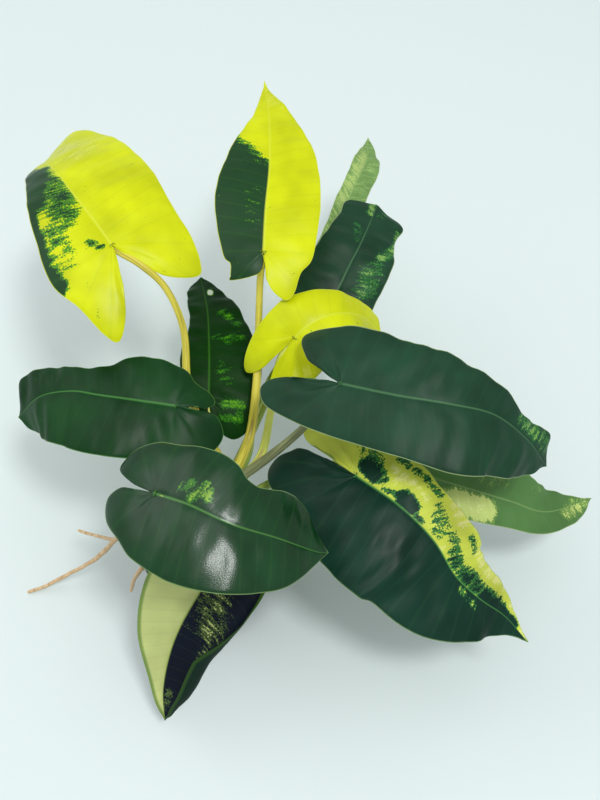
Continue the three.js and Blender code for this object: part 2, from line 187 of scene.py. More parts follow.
def vertex_normals(vertices, triangles):
    """Sum of the normals of the triangles round each vertex, made one long."""
    a, b, c = (vertices[triangles[:, k]] for k in range(3))
    face_normals = np.cross(b - a, c - a)
    normals = np.zeros_like(vertices)
    for corner in range(3):
        np.add.at(normals, triangles[:, corner], face_normals)
    return unit(normals)


print("four rings of six sides give", len(ring_triangles(4, 6)), "triangles")

# %% From triangles to a piece of the plant
def shell(vertices, triangles, material, **values):
    """One closed surface with its finish and its named values per vertex, one or two columns each.
    Vertices that no triangle uses are left out."""
    used, compact = np.unique(triangles, return_inverse=True)
    triangles = compact.reshape(-1, 3)
    vertices = vertices[used]
    return {
        "vertices": vertices,
        "triangles": outward(vertices, triangles),
        "material": material,
        "values": {name: value[used] for name, value in values.items()},
    }


def vertex_values(shells, name):
    """A named value of all shells in one array, with zeros where a shell doesn't have it."""
    columns = next(each["values"][name].shape[1:] for each in shells if name in each["values"])
    return np.concatenate([
        each["values"].get(name, np.zeros((len(each["vertices"]), *columns))) for each in shells])


def make_piece(name, shells, slot, *nodes):
    """Puts closed shells, in millimetres, into one object at the origin. It rides on the plant's
    one body, and stands for the solids that are named. Values of one column become attributes, and
    those of two columns become UV maps, because a material reads either by name."""
    sizes = [len(each["vertices"]) for each in shells]
    firsts = np.cumsum([0] + sizes[:-1])
    vertices = MM * np.concatenate([each["vertices"] for each in shells])
    triangles = np.concatenate([each["triangles"] + first for each, first in zip(shells, firsts)])
    mesh = bpy.data.meshes.new(name)
    mesh.from_pydata(vertices, [], triangles, shade_flat=False)
    finishes = list(dict.fromkeys(each["material"] for each in shells))
    for finish in finishes:
        mesh.materials.append(finish)
    numbers = [finishes.index(each["material"]) for each in shells]
    each_face = np.repeat(numbers, [len(each["triangles"]) for each in shells])
    mesh.polygons.foreach_set("material_index", each_face.astype(np.int32))
    for key in sorted({key for each in shells for key in each["values"]}):
        value = vertex_values(shells, key)
        if value.ndim == 1:
            layer = mesh.attributes.new(key, "FLOAT", "POINT")
            layer.data.foreach_set("value", value)
        else:
            layer = mesh.uv_layers.new(name=key)
            layer.data.foreach_set("uv", value[triangles].ravel())
    piece = linked(name, mesh)
    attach(piece, "root")
    if nodes:
        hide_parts(*nodes)
    print(name, len(triangles), "triangles")
    return piece

# %% [markdown]
# ## Colours and nodes
#
# Colours are written as the hex values that a paint program shows. Blender mixes light, so one
# function turns them to linear values. A second small function adds any shader node, with its
# settings and its links, and hands back the output that the next node needs, so a recipe reads like
# a list. A third adds a noise whose grain has a real size, because every finish here needs some.
#
# Bark, root skin, stalk skin and potting mix are all grainy: one uneven value decides both their
# colour and their height. They share one recipe and differ in its sizes and colours.

# %% Colours and nodes
def linear(hex_colour):
    """sRGB hex to linear RGBA: c / 12.92 up to 0.04045, and ((c + 0.055) / 1.055) ^ 2.4 above."""
    channels = np.array([(hex_colour >> shift) & 0xFF for shift in (16, 8, 0)]) / 255
    bright = ((channels + 0.055) / 1.055) ** 2.4
    return (*np.where(channels <= 0.04045, channels / 12.92, bright).tolist(), 1.0)


def set_inputs(tree, node, inputs):
    """Links each input that is given as another node's output, and sets the others."""
    for socket, value in inputs.items():
        if isinstance(value, bpy.types.NodeSocket):
            tree.links.new(value, node.inputs[socket])
        else:
            node.inputs[socket].default_value = value


def add(tree, kind, inputs=None, stops=None, output=0, **settings):
    """Adds one shader node and gives one of its outputs. Settings are the node's own fields, and
    stops are the places and hex colours of a ramp."""
    made = tree.nodes.new("ShaderNode" + kind)
    for name, value in settings.items():
        setattr(made, name, value)
    set_inputs(tree, made, inputs or {})
    if stops:
        elements = made.color_ramp.elements
        for element, (place, colour) in zip(elements, (stops[0], stops[-1])):
            element.position, element.color = place, linear(colour)
        for place, colour in stops[1:-1]:
            elements.new(place).color = linear(colour)
    return made.outputs[output]


def start_finish(name):
    """New material with its node tree and its Principled shader."""
    material = bpy.data.materials.new(name)
    material.use_nodes = True
    tree = material.node_tree
    return material, tree, tree.nodes["Principled BSDF"]


def noise(tree, grain_mm, detail, coarse=0.5, uv_map=None):
    """Noise with a grain of one size, or of a size along each axis, of the object or of a UV map in
    millimetres. A scale is one over a size."""
    place = add(tree, "UVMap", uv_map=uv_map) if uv_map else add(tree, "TexCoord", output="Object")
    scale = (1 / ((1 if uv_map else MM) * np.array(grain_mm))).tolist()
    if isinstance(scale, list):
        place = add(tree, "Mapping", {"Vector": place, "Scale": scale})
        scale = 1
    return add(tree, "TexNoise", {
        "Vector": place, "Scale": scale, "Detail": detail, "Roughness": coarse})


def grainy_finish(name, grain_mm, stops, bump, roughness, ior=1.5, detail=4, coarse=0.5,
                  uv_map=None, fleck_mm=None):
    """A noise picks the colour on a ramp and raises the surface. It may be averaged with even
    flecks. The bump is a strength and a height in millimetres."""
    material, tree, shader = start_finish(name)
    value = noise(tree, grain_mm, detail, coarse, uv_map)
    if fleck_mm:
        both = add(tree, "Math", {0: value, 1: noise(tree, fleck_mm, 3, uv_map=uv_map)})
        value = add(tree, "Math", {0: both, 1: 0.5}, operation="MULTIPLY")
    strength, height = bump
    set_inputs(tree, shader, {
        "Base Color": add(tree, "ValToRGB", {"Fac": value}, stops),
        "Normal": add(tree, "Bump", {
            "Height": value, "Strength": strength, "Distance": height * MM}),
        "Roughness": roughness, "IOR": ior})
    return material


print("mid grey, 0x808080, is", round(linear(0x808080)[0], 3), "in linear light")

# %% [markdown]
# ## Waxy leaf skin
#
# The leaf of this philodendron is a smooth, waxy skin over a few layers of cells. Where a layer lacks
# its green pigment, the leaf shows lime or cream instead of dark green. Such sectors follow the way
# the leaf grew: their edges run along the side veins, in streaks and fine speckles, and are sharp.
#
# A picture of a leaf could be wrapped on the blade, but it would be that one leaf. Instead each blade
# carries a rough value per vertex, painted with a few soft strokes: below zero is dark, above zero is
# lime. Two noises break it up before a ramp turns it to colour. One is stretched along the side
# veins, and the other is fine and even. The ramp is steep, so the edges are as sharp as the real ones.
#
# Wax gives the eye a satin gloss: broad, soft reflections that are stronger on dark green. How glossy
# a leaf is depends on its age and on the dust on it, so each skin has its own roughness and strength
# of reflection, and large soft patches vary its depth. The pale midrib, the thin margin and the duller
# underside are values that the blade carries too.

# %% Waxy leaf skin
VEIN_SPACING_MM = 8.5
STREAK_WIDTH_MM = 2.6
STREAK_LENGTH_MM = 11
FLECK_MM = 1.1
PATCH_MM = 28
SKIN_CELL_MM = 0.7  # real cells are a tenth of this, drawn coarser so that they show
STREAK_SWING = 5.0  # how much each noise can change the painted value, from lowest to highest
FLECK_SWING = 3.0
LOWEST_VALUE, HIGHEST_VALUE = -2.5, 3.5
WAX_IOR = 1.45


def leaf_skin(tone, pigments, rib, margin, roughness, gloss, under=0x3f6a45, shade=0.82,
              margin_width=0.65):
    """Value = painted + streaks + flecks. A steep ramp turns it to the four pigments: dark, middle,
    lime and cream. Large patches multiply that by shade to 1.12. Then more is mixed over it, each
    where a distance is small: side veins, the margin line, margin_width mm wide, the colour of the
    underside, and the midrib."""
    dark, middle, lime, cream = pigments
    material, tree, shader = start_finish("waxy_leaf_skin_" + tone)
    value, rib_share, margin_distance, below = (
        add(tree, "Attribute", attribute_name=name, output="Fac")
        for name in ("lime", "rib", "margin", "under"))
    streaks = noise(tree, (STREAK_WIDTH_MM, STREAK_LENGTH_MM, 1), 4, 0.62, "veins")
    flecks = noise(tree, FLECK_MM, 2, uv_map="blade")
    for part, swing in ((streaks, STREAK_SWING), (flecks, FLECK_SWING)):
        push = add(tree, "Math", {0: part, 1: swing, 2: -swing / 2}, operation="MULTIPLY_ADD")
        value = add(tree, "Math", {0: value, 1: push})
    share = add(tree, "MapRange", {
        "Value": value, "From Min": LOWEST_VALUE, "From Max": HIGHEST_VALUE})
    colour = add(tree, "ValToRGB", {"Fac": share}, [
        (0.29, dark), (0.34, middle), (0.43, middle), (0.46, lime), (0.8, lime), (0.92, cream)])

    patches = noise(tree, PATCH_MM, 2, uv_map="blade")
    depth, shine = (
        add(tree, "MapRange", {
            "Value": patches, "From Min": 0.3, "From Max": 0.7, "To Min": low, "To Max": high})
        for low, high in ((shade, 1.12), (roughness - 0.05, roughness + 0.08)))
    colour = add(tree, "HueSaturation", {"Color": colour, "Value": depth})

    across = add(tree, "SeparateXYZ", {"Vector": add(tree, "UVMap", uv_map="veins")})
    from_vein = add(tree, "Math", {0: across, 1: VEIN_SPACING_MM / 2}, operation="PINGPONG")
    for distance, full, gone, strength, tint in (
            (from_vein, 0.1, 0.9, 0.06, middle),
            (margin_distance, 0.6 * margin_width - 0.2, margin_width, 0.75, margin),
            (below, 1.0, 0.0, 0.7, under),
            (rib_share, 0.12, 0.5, 0.75, rib)):
        line = add(tree, "MapRange", {
            "Value": distance, "From Min": full, "From Max": gone, "To Min": strength,
            "To Max": 0.0})
        colour = add(tree, "Mix", {"Factor": line, 6: colour, 7: linear(tint)}, output=2,
                     data_type="RGBA")

    height = add(tree, "Math", {0: noise(tree, SKIN_CELL_MM, 3, uv_map="blade"), 1: streaks})
    set_inputs(tree, shader, {
        "Base Color": colour,
        "Roughness": add(tree, "Math", {0: below, 1: 0.2, 2: shine}, operation="MULTIPLY_ADD"),
        "Normal": add(tree, "Bump", {"Height": height, "Strength": 0.16, "Distance": 0.5 * MM}),
        "IOR": WAX_IOR, "Specular IOR Level": gloss})
    return material

# %% The skins of the twelve leaves
# Near-black green, in which a satin sheen shows as soft grey patches
DARK_SKIN = leaf_skin("dark", (0x0c3c15, 0x256620, 0x7fab2e, 0xd8dd8e), rib=0x45803a,
                      margin=0x5f8a48, roughness=0.38, gloss=0.2, shade=0.6)
# The glossiest leaf: the same green with one clear highlight
SHINY_SKIN = leaf_skin("shiny", (0x073a16, 0x377a20, 0x8fba36, 0xe6e9d2), rib=0x4a7f36,
                       margin=0x7f9f62, roughness=0.22, gloss=0.45, shade=0.6)
# A younger leaf: a warm, full green that is nearly matt
FRESH_SKIN = leaf_skin("fresh_green", (0x0a3408, 0x286a0e, 0x5a9a12, 0xeef2ea), rib=0x356a1c,
                       margin=0x457438, roughness=0.45, gloss=0.12)
# Dark green under a thin, dull bloom, with a pale edge line
GREYED_SKIN = leaf_skin("grey_tinted", (0x163f28, 0x2a6a30, 0x7da654, 0xd8dd8e), rib=0x47734a,
                        margin=0x9fb47e, roughness=0.46, gloss=0.25, shade=0.66)
# No green pigment at all: a clear yellow-green with little shadow in it
LIME_SKIN = leaf_skin("lime", (0x1a401f, 0x4c8a1e, 0xcad306, 0xd8df4c), rib=0xcfd93c,
                      margin=0xd3dc40, under=0xa3b240, roughness=0.34, gloss=0.22)
# Blue-black green beside a pale yellow-green, in sharp blotches
HALF_SKIN = leaf_skin("marbled", (0x0a3325, 0x3a7a38, 0xcdd94e, 0xe4e68c), rib=0x4a8a40,
                      margin=0x7fa064, under=0x4f7a50, roughness=0.42, gloss=0.2, shade=0.66)
# Creamy lime beside near-black, with a broad green margin, and nearly matt. The near-black is
# dark green with a painted dark reflection, which turns it navy
PALE_SKIN = leaf_skin("pale", (0x0c1424, 0x4b6132, 0xc9d386, 0xd0d898), rib=0x9fb458,
                      margin=0x4f7a24, under=0x0e2c18, roughness=0.44, gloss=0.14, margin_width=2.8)
# An old leaf: greyish green and dull, with cream where the others have lime
GREY_SKIN = leaf_skin("grey_green", (0x527c42, 0x74994c, 0xc4d47a, 0xdde2a0), rib=0x7d9f60,
                      margin=0xb4c78a, under=0x7d9c6a, roughness=0.46, gloss=0.22)
# The palest green, and the dullest
HAZY_SKIN = leaf_skin("hazy_green", (0x6f9452, 0x86a860, 0xa9c270, 0xcdd68c), rib=0x8fae66,
                      margin=0xa9c07a, under=0x7d9c6a, roughness=0.5, gloss=0.22)
print("leaf skins:", [skin.name for skin in bpy.data.materials if "leaf_skin" in skin.name])

# %% [markdown]
# ## Leaf stalk skin
#
# A stalk is a green rod under a thin skin, firm and slightly fibrous. Its colour runs lengthwise,
# because its strands do, so a stalk can be ochre on one side and green on the other. A noise that is
# stretched a long way along the stalk gives those strands. The satin shine is duller than a blade's.

# %% Leaf stalk skin
STRAND_WIDTH_MM = 0.9
STRAND_LENGTH_MM = 45


def stalk_skin(tone, light, middle, dark):
    """Strands of three colours, on the map of the distance along the stalk and the place across."""
    return grainy_finish(
        "leaf_stalk_skin_" + tone, (STRAND_LENGTH_MM, STRAND_WIDTH_MM, 1),
        [(0.3, dark), (0.45, middle), (0.58, light), (0.75, middle)], bump=(0.25, 0.4),
        roughness=0.45, ior=WAX_IOR, detail=3, coarse=0.6, uv_map="veins")


# Yellow to ochre, on the lime leaves at the top
OCHRE_STALK = stalk_skin("ochre", 0xddd04e, 0xbdb338, 0x7d6a22)
# Light green with darker strands, on most of the others
GREEN_STALK = stalk_skin("green", 0xacb94a, 0x7c9a3c, 0x4c682c)
# Dull grey-olive, on the two largest dark leaves
OLIVE_STALK = stalk_skin("olive", 0x8f9668, 0x757b52, 0x545838)
# Pale lime with a brownish strand, on the two leaves in the middle
LIME_STALK = stalk_skin("lime", 0xe4ea72, 0xc8d254, 0xb08f60)
print("stalk skins:", [skin.name for skin in (OCHRE_STALK, GREEN_STALK, OLIVE_STALK, LIME_STALK)])

# %% [markdown]
# ## The stem
#
# The stem is short and thick. Every leaf that it has carried left a ring, so it is a stack of short
# lengths. It could be a cylinder with bumps in its material, but the rings show in its outline, so
# they are in its shape: a tube along a leaning curve, whose radius swells at each ring. Its bark is
# green and browns with age, with dull corky flecks, so the eye sees it as half wood and half leaf.
#
# The tube is the second tool of this lesson, and the stalks and roots use it too. Its ends are
# rounded off, so each tube is closed.

# %% A tube along a path
CAP_RINGS = 7


def tube(path, radius, sides, spacing, material, first=0.0):
    """Rings across a path, from the distance first to its end. A point of a ring is
    centre + r (cos a n + sin a b), where n and b are square to the path and to each other. Over the
    last radius at each end, r shrinks as sqrt(1 - s^2), and the end ring is one point. Its map
    holds the distance along the path and the place across it."""
    base, end = (radius(np.array([[share]]), np.zeros((1, 1))).item() for share in (0.0, 1.0))
    cap = 1 - np.cos(np.linspace(0, math.pi / 2, CAP_RINGS))
    inner = np.linspace(first + base, path.length - end,
                        max(4, round((path.length - first) / spacing)))
    distance = np.concatenate([
        first + base * cap[:-1], inner, path.length - end * cap[:-1][::-1]])
    nearest_end = np.minimum((distance - first) / base, (path.length - distance) / end)
    shrink = np.sqrt(np.clip(1 - (1 - np.clip(nearest_end, 0, 1)) ** 2, 0, 1))
    along = path.direction(distance)
    axis = np.eye(3)[np.argmin(np.abs(along).max(axis=0))]
    normal = unit(np.cross(along, axis))
    across = np.cross(along, normal)
    angle = np.linspace(0, 2 * math.pi, sides, endpoint=False)[None, :]
    share = (distance / path.length)[:, None]
    reach = radius(share, angle) * shrink[:, None]
    turned = np.cos(angle)[..., None] * normal[:, None] + np.sin(angle)[..., None] * across[:, None]
    points = path.at(distance)[:, None] + reach[..., None] * turned
    place = np.stack(np.broadcast_arrays(distance[:, None], reach * np.cos(angle)), -1)
    return shell(points.reshape(-1, 3), ring_triangles(len(distance), sides), material,
                 veins=place.reshape(-1, 2))


print("rings in the rounded end of a tube:", CAP_RINGS)

# %% The stem
STEM_PATH = Path([(-1, 1, 46), (0, 2, 66), (4, 7, 86), (12, 15, 106), (21, 23, 124)])
STEM_RADIUS_MM = 7
RING_COUNT = 9
RING_HEIGHT_MM = 0.5
SCAR_DEPTH_MM = 0.35
UNEVEN_MM = 0.15
BARK_GRAIN_MM = (5.56, 5.56, 1.11)  # flat grains, so that they lie round the stem
BARK_FLECK_MM = 1.43
BARK_COLOURS = [(0.36, 0x4c3f22), (0.46, 0x6b6a30), (0.56, 0x7c8638), (0.68, 0xa39a66)]


def stem_radius(share, angle):
    """7 mm, slimmer at both ends, plus a cosine that peaks at each ring, less a narrow scar just
    under the peak."""
    ring = 2 * math.pi * RING_COUNT * share
    taper = (0.8 + 0.2 * np.minimum(3 * share, 1)) * (1 - 0.2 * share**2)
    scar = SCAR_DEPTH_MM * np.maximum(np.cos(ring + 0.7), 0) ** 24
    uneven = UNEVEN_MM * np.sin(3 * angle + 9 * share)
    return STEM_RADIUS_MM * taper + RING_HEIGHT_MM * np.cos(ring) - scar + uneven


STEM_BARK = grainy_finish("green_stem_bark", BARK_GRAIN_MM, BARK_COLOURS, bump=(0.5, 0.6),
                          roughness=0.6, fleck_mm=BARK_FLECK_MM)
make_piece("stem_with_leaf_scars", [tube(STEM_PATH, stem_radius, 64, 0.5, STEM_BARK)],
           "stem", "stem")

# %% [markdown]
# ## A leaf blade
#
# A blade is a heart: two back lobes beside the stalk, full sides, and a tip drawn out to a point. It
# could be a flat sheet cut out by a picture's transparency, but then it has no edge and no underside.
#
# Here each half of a blade is a surface of two parameters. One goes round the half's outline, from
# the stalk round the back lobe and along the margin to the tip. The other goes from the midrib out to
# the margin, the way the side veins run: they leave the midrib slanting towards the tip and fan round
# the back lobe. The flat half is then bent three ways: it follows the midrib's curve, it folds up a
# little from the midrib, and its slope turns down towards the margin.

# %% The outline of half a blade
SPANS = 12
LOBE_SPANS = 6
RAYS_PER_SPAN = 12
RAYS = SPANS * RAYS_PER_SPAN
LOBE_RAYS = LOBE_SPANS * RAYS_PER_SPAN
ROWS = 32
VEIN_SWEEP = 1.2
LOBE_VEIN_SHARE = 0.35  # the fan's veins stand closer at their feet than on the lobe's outline
SLOPE_STEPS = 16
DIRECTION_REACH_MM = 6  # a longer reach than a bend of the midrib keeps the margin smooth


def half(widths, lobe, back=0.5, notch=0.2, full=1.0, bend=-25, roll=1.0, fold=(6, 6),
         curl=(-25, -20)):
    """What one half of a blade is made from, with the usual values where a leaf gives none. The
    widths are those at 0, 1/4, 1/2, 3/4 and 0.92 of the midrib. The lobe reaches back by its own
    length, furthest at the share back of the first width, past a notch beside the stalk, and full
    says how round its outer side is. Bend, fold and curl are angles: of the lobe behind the stalk,
    of the half at the midrib, and of its slope from there to the margin. Two angles are those at
    the stalk and at the tip."""
    return dict(widths=widths, lobe=lobe, back=back, notch=notch, full=full, bend=bend, roll=roll,
                fold=fold, curl=curl)


def half_outline(shape, length):
    """Catmull-Rom curve in the blade's own plane, x along the midrib and y out from it."""
    w0, w25, w50, w75, w92 = shape["widths"]
    lobe, notch, back = shape["lobe"], shape["notch"], shape["back"]
    bulge = [(back + share * shape["full"] * (1 - back)) * w0 for share in (0.55, 0.92)]
    points = [
        (0, 0), (-0.38 * lobe, 0.42 * notch * w0), (-0.76 * lobe, notch * w0), (-lobe, back * w0),
        (-0.84 * lobe, bulge[0]), (-0.42 * lobe, bulge[1]),
        (0, w0), (0.25 * length, w25), (0.5 * length, w50), (0.75 * length, w75),
        (0.92 * length, w92), (0.975 * length, 0.28 * w92), (length, 0),
    ]
    return smooth_curve(points, np.linspace(0, 1, RAYS + 1))


print("rays in half a blade:", RAYS, "of which in the lobe:", LOBE_RAYS)

# %% One half of a blade, bent into space
def half_blade(shape, hand, midrib, face, feet):
    """Points of one half. A ray runs from its foot on the midrib to its outline point, and v is the
    share of the way. Behind the stalk, the midrib's line goes on as an arc. A cross-section leaves
    the midrib at the angle fold, and its slope has turned by curl v^roll, so its place is the
    integral of cos and sin of that slope, taken here as the mean of 16 steps."""
    outline = half_outline(shape, midrib.length)
    margin_x, margin_y = outline[:, 0], np.maximum(outline[:, 1], 0)
    v = (1 - np.cos(math.pi * np.arange(ROWS + 1) / ROWS)) / 2
    x = feet[:, None] + v * (margin_x - feet)[:, None]
    y = v * margin_y[:, None]
    inside = np.clip(x, 0, midrib.length)
    share = inside / midrib.length
    along = midrib.direction(inside, DIRECTION_REACH_MM)
    up = blend_keys(face, share)
    up = unit(up - (up * along).sum(-1, keepdims=True) * along)
    side = hand * np.cross(along, up)
    bend = math.radians(shape["bend"])
    turn = (bend * np.maximum(-x, 0) / shape["lobe"])[..., None]
    radius = shape["lobe"] / bend
    place = midrib.at(inside) - radius * np.sin(turn) * along + radius * (1 - np.cos(turn)) * up
    up = up * np.cos(turn) + along * np.sin(turn)
    fold = np.radians(blend_keys(shape["fold"], share))[..., None]
    curl = np.radians(blend_keys(shape["curl"], share))[..., None]
    steps = (np.arange(SLOPE_STEPS) + 0.5) / SLOPE_STEPS
    slope = fold + curl * (v[:, None] * steps) ** shape["roll"]
    out, rise = y * np.cos(slope).mean(-1), y * np.sin(slope).mean(-1)
    points = place + out[..., None] * side + rise[..., None] * up

    lengths = np.linalg.norm(np.diff(outline, axis=0), axis=1)
    vein = feet.copy()
    vein[:LOBE_RAYS] = -LOBE_VEIN_SHARE * np.cumsum(lengths[:LOBE_RAYS][::-1])[::-1]
    margin = (1 - v) * np.hypot(margin_x - feet, margin_y)[:, None]
    return [points, x, hand * y, np.broadcast_to(vein[:, None], x.shape), margin,
            np.broadcast_to(v, x.shape)]

# %% The net of a whole blade
# All rays of both lobes start at the stalk, at vertex 0. The left half uses the midrib's vertices of
# the right half, and the tip is one vertex.
RIGHT_NUMBERS = np.arange((RAYS + 1) * (ROWS + 1)).reshape(RAYS + 1, ROWS + 1)
LEFT_NUMBERS = RIGHT_NUMBERS + RIGHT_NUMBERS.size
LEFT_NUMBERS[:, 0] = RIGHT_NUMBERS[:, 0]
for numbers in (RIGHT_NUMBERS, LEFT_NUMBERS):
    numbers[0] = numbers[:LOBE_RAYS + 1, 0] = 0
    numbers[-1] = RIGHT_NUMBERS[-1, 0]
BLADE_TRIANGLES = np.concatenate([
    net_triangles(LEFT_NUMBERS), net_triangles(RIGHT_NUMBERS)[:, ::-1]])
MARGIN_EDGES = np.concatenate([
    np.stack([LEFT_NUMBERS[:-1, -1], LEFT_NUMBERS[1:, -1]], -1),
    np.stack([RIGHT_NUMBERS[1:, -1], RIGHT_NUMBERS[:-1, -1]], -1)])


def blade_net(leaf):
    """Both halves in one list of arrays, the right one first: points, x, y, the vein's place on the
    midrib, the distance from the margin, and v. The halves share the rays' feet."""
    midrib = leaf["path"]
    first_x = half_outline(leaf["right"], midrib.length)[:, 0]
    feet = midrib.length * np.clip(first_x / midrib.length, 0, 1) ** VEIN_SWEEP
    halves = [half_blade(leaf[name], hand, midrib, leaf["face"], feet)
              for name, hand in (("right", 1), ("left", -1))]
    return [np.concatenate([one.reshape(-1, *one.shape[2:]), two.reshape(-1, *two.shape[2:])])
            for one, two in zip(*halves)]


print("triangles in the upper side of a blade:", len(BLADE_TRIANGLES))

# %% [markdown]
# ## Paint in strokes
#
# Each blade's pattern is described the way a painter would do it: a ground for each half, then soft
# strokes in order. A stroke has a value, a radius and a line, in millimetres along the midrib and out
# from it, with the left half below zero. Its weight fades slowly from one on the line to zero well
# past its radius. A stroke never crosses the midrib, because the real sectors don't.

# %% Paint in strokes
DARK, MIDDLE, LIME, SPOT = -2.3, -0.15, 1.4, 9.0


def paint(x, y, grounds, strokes):
    """Value of each point: the ground of its half, drawn towards each stroke's value by
    1 - smooth_step(distance to the stroke's line, 0.2 r, 1.8 r). The slow fade lets the noises of
    the leaf skin shape the stroke's edge."""
    value = np.where(y >= 0, grounds[0], grounds[1]).astype(float)
    points = np.stack([x, y], -1)
    for aim, radius, line in strokes:
        line = np.asarray(line, float)
        nearest = np.full(len(x), np.inf)
        for a, b in zip(line[:-1], line[1:]):
            span = b - a
            along = np.clip((points - a) @ span / (span @ span), 0, 1)
            nearest = np.minimum(nearest, np.linalg.norm(points - a - along[:, None] * span, axis=1))
        same_half = (y >= 0) == (line[:, 1].mean() >= 0)
        weight = same_half * (1 - smooth_step(nearest, 0.2 * radius, 1.8 * radius))
        value += (aim - value) * weight
    return value


spots = paint(np.array([9.0, 9.0]), np.array([1.0, 9.0]), (LIME, LIME), [(DARK, 2, [(0, 1), (20, 1)])])
print("painted values on a stroke and 8 mm beside it:", spots.round(2))

# %% [markdown]
# ## A whole leaf
#
# The net of the two halves gets its normals, and is moved along them: a gentle wave towards the
# margin, two smaller ones that break up the gloss as a real blade's dents do, and shallow furrows
# along the side veins. Then it becomes a closed skin. One copy is pushed up and one down, with a
# groove along the midrib above, a round ridge below, and a margin that is thinner than the middle.
#
# The stalk is a tube from the stem to the blade, and runs on a little way under the ridge. Blade and
# stalk grew as one piece, so they are one object.

# %% The relief of a blade
EDGE_WAVE_MM = 43  # lengths of the wave and of the dents, along the midrib
LONG_DENT_MM = 21
SHORT_DENT_MM = 11.5
FURROW_DEPTH_MM = 0.14
FURROW_WIDTH_MM = 1.3


def relief(size, number, vein, y, v, from_rib):
    """Height of the wave, which grows as v^2, of two dents, which fade out at the midrib, and of the
    furrows, each exp(-(d / width)^2) of the distance d to the next side vein."""
    phase = 1.7 * number + np.sign(y)
    turns = 2 * math.pi * vein
    edge = v**2 * np.sin(turns / EDGE_WAVE_MM + phase)
    dents = (0.64 * np.sin(turns / LONG_DENT_MM + 1.5 * np.sin(from_rib / 8 + phase))
             + 0.44 * np.sin(turns / SHORT_DENT_MM + from_rib / 6 + 2 * phase))
    to_vein = np.abs((vein / VEIN_SPACING_MM + 0.5) % 1 - 0.5) * VEIN_SPACING_MM
    furrow = np.exp(-((to_vein / FURROW_WIDTH_MM) ** 2)) * np.minimum(from_rib / 6, 1) * (1 - v**3)
    return size * (edge + np.minimum(from_rib / 9, 1) * dents) - FURROW_DEPTH_MM * furrow


print("wave, dents and furrows repeat every", EDGE_WAVE_MM, LONG_DENT_MM, SHORT_DENT_MM, VEIN_SPACING_MM,
      "mm")

# %% The closed skin of a blade
BLADE_THICKNESS_MM = 0.7
MARGIN_THINNING = 0.7
MIDRIB_DEPTH_MM = 1.5
MIDRIB_WIDTHS_MM = (0.35, 1.9)  # half its width at the tip, and what it gains towards the stalk
GROOVE_DEPTH_MM = 0.3
PATTERN_SHIFT_VEINS = 20


def blade_shell(leaf, finish, number):
    """Closed skin: net + n t / 2 above, and net - n (t / 2 + ridge) below, joined round the margin.
    The maps of each leaf are shifted by its number, so no two leaves share a pattern."""
    points, x, y, vein, margin, v = blade_net(leaf)
    left_over = 1 - np.clip(x / leaf["path"].length, 0, 1)
    from_rib = np.where(x < 0, np.hypot(x, y), np.abs(y))
    tip_width, gain = MIDRIB_WIDTHS_MM
    rib = from_rib / (tip_width + gain * left_over**0.7)
    normals = vertex_normals(points, BLADE_TRIANGLES)
    points = points + relief(leaf["wave"], number, vein, y, v, from_rib)[:, None] * normals
    half_thickness = BLADE_THICKNESS_MM / 2 * (1 - MARGIN_THINNING * smooth_step(v, 0.95, 1))
    ridge = MIDRIB_DEPTH_MM * left_over**0.7 * np.sqrt(np.clip(1 - rib**2, 0, 1))
    groove = GROOVE_DEPTH_MM * left_over**0.5 * np.exp(-(rib**2))
    upper = points + (half_thickness - groove)[:, None] * normals
    lower = points - (half_thickness + ridge)[:, None] * normals
    count = len(points)
    a, b = MARGIN_EDGES.T
    triangles = np.concatenate([
        BLADE_TRIANGLES, BLADE_TRIANGLES[:, ::-1] + count,
        np.stack([a, b, b + count], -1), np.stack([a, b + count, a + count], -1)])
    shift = number * PATTERN_SHIFT_VEINS * VEIN_SPACING_MM
    values = dict(
        veins=np.stack([vein + shift, y], -1), blade=np.stack([x + shift, y], -1), margin=margin,
        rib=rib, lime=paint(x, y, leaf["grounds"], leaf["strokes"]))
    twice = {name: np.concatenate([value, value]) for name, value in values.items()}
    under = np.concatenate([np.zeros(count), np.ones(count)])
    return shell(np.concatenate([upper, lower]), triangles, finish, under=under, **twice)

# %% A whole leaf
STALK_BASE_MM = 3.3
STALK_TOP_MM = 2.1
STALK_UNDER_BLADE_MM = 12
STALK_SIDES = 28
STALK_RING_SPACING_MM = 1.4
STALK_START_MM = 2.5
JOINT_SINK_MM = 0.9
UPWARDS = [(0, -0.2, 1), (0.3, -0.2, 1)]
leaf_names = []  # a leaf's place in this list shifts its waves and its pattern


def stalk_shell(leaf, finish):
    """Tube from the stem's axis, through the stalk's points, to the midrib and on under it."""
    midrib = leaf["path"]
    spots = np.array([0.0, STALK_UNDER_BLADE_MM])
    along, up = midrib.direction(spots), blend_keys(leaf["face"], [0, 0.1])
    up = unit(up - (up * along).sum(-1, keepdims=True) * along)
    depths = JOINT_SINK_MM + STALK_TOP_MM * np.array([[1.0], [0.7]])
    joint, end = midrib.at(spots) - up * depths
    start = STEM_PATH.at(STEM_PATH.length * leaf["from"])

    def radius(share, angle):
        """3.3 mm at the stem and 2.1 mm from five eighths on, with one side slightly flattened."""
        taper = STALK_BASE_MM + (STALK_TOP_MM - STALK_BASE_MM) * np.minimum(1, 1.6 * share)
        thin_end = 1 - 0.3 * smooth_step(share, 0.93, 1)
        return taper * thin_end * (1 - 0.1 * np.maximum(np.cos(angle), 0) ** 4)

    path = Path([start, *leaf["through"], joint, end])
    return tube(path, radius, STALK_SIDES, STALK_RING_SPACING_MM, finish, STALK_START_MM)


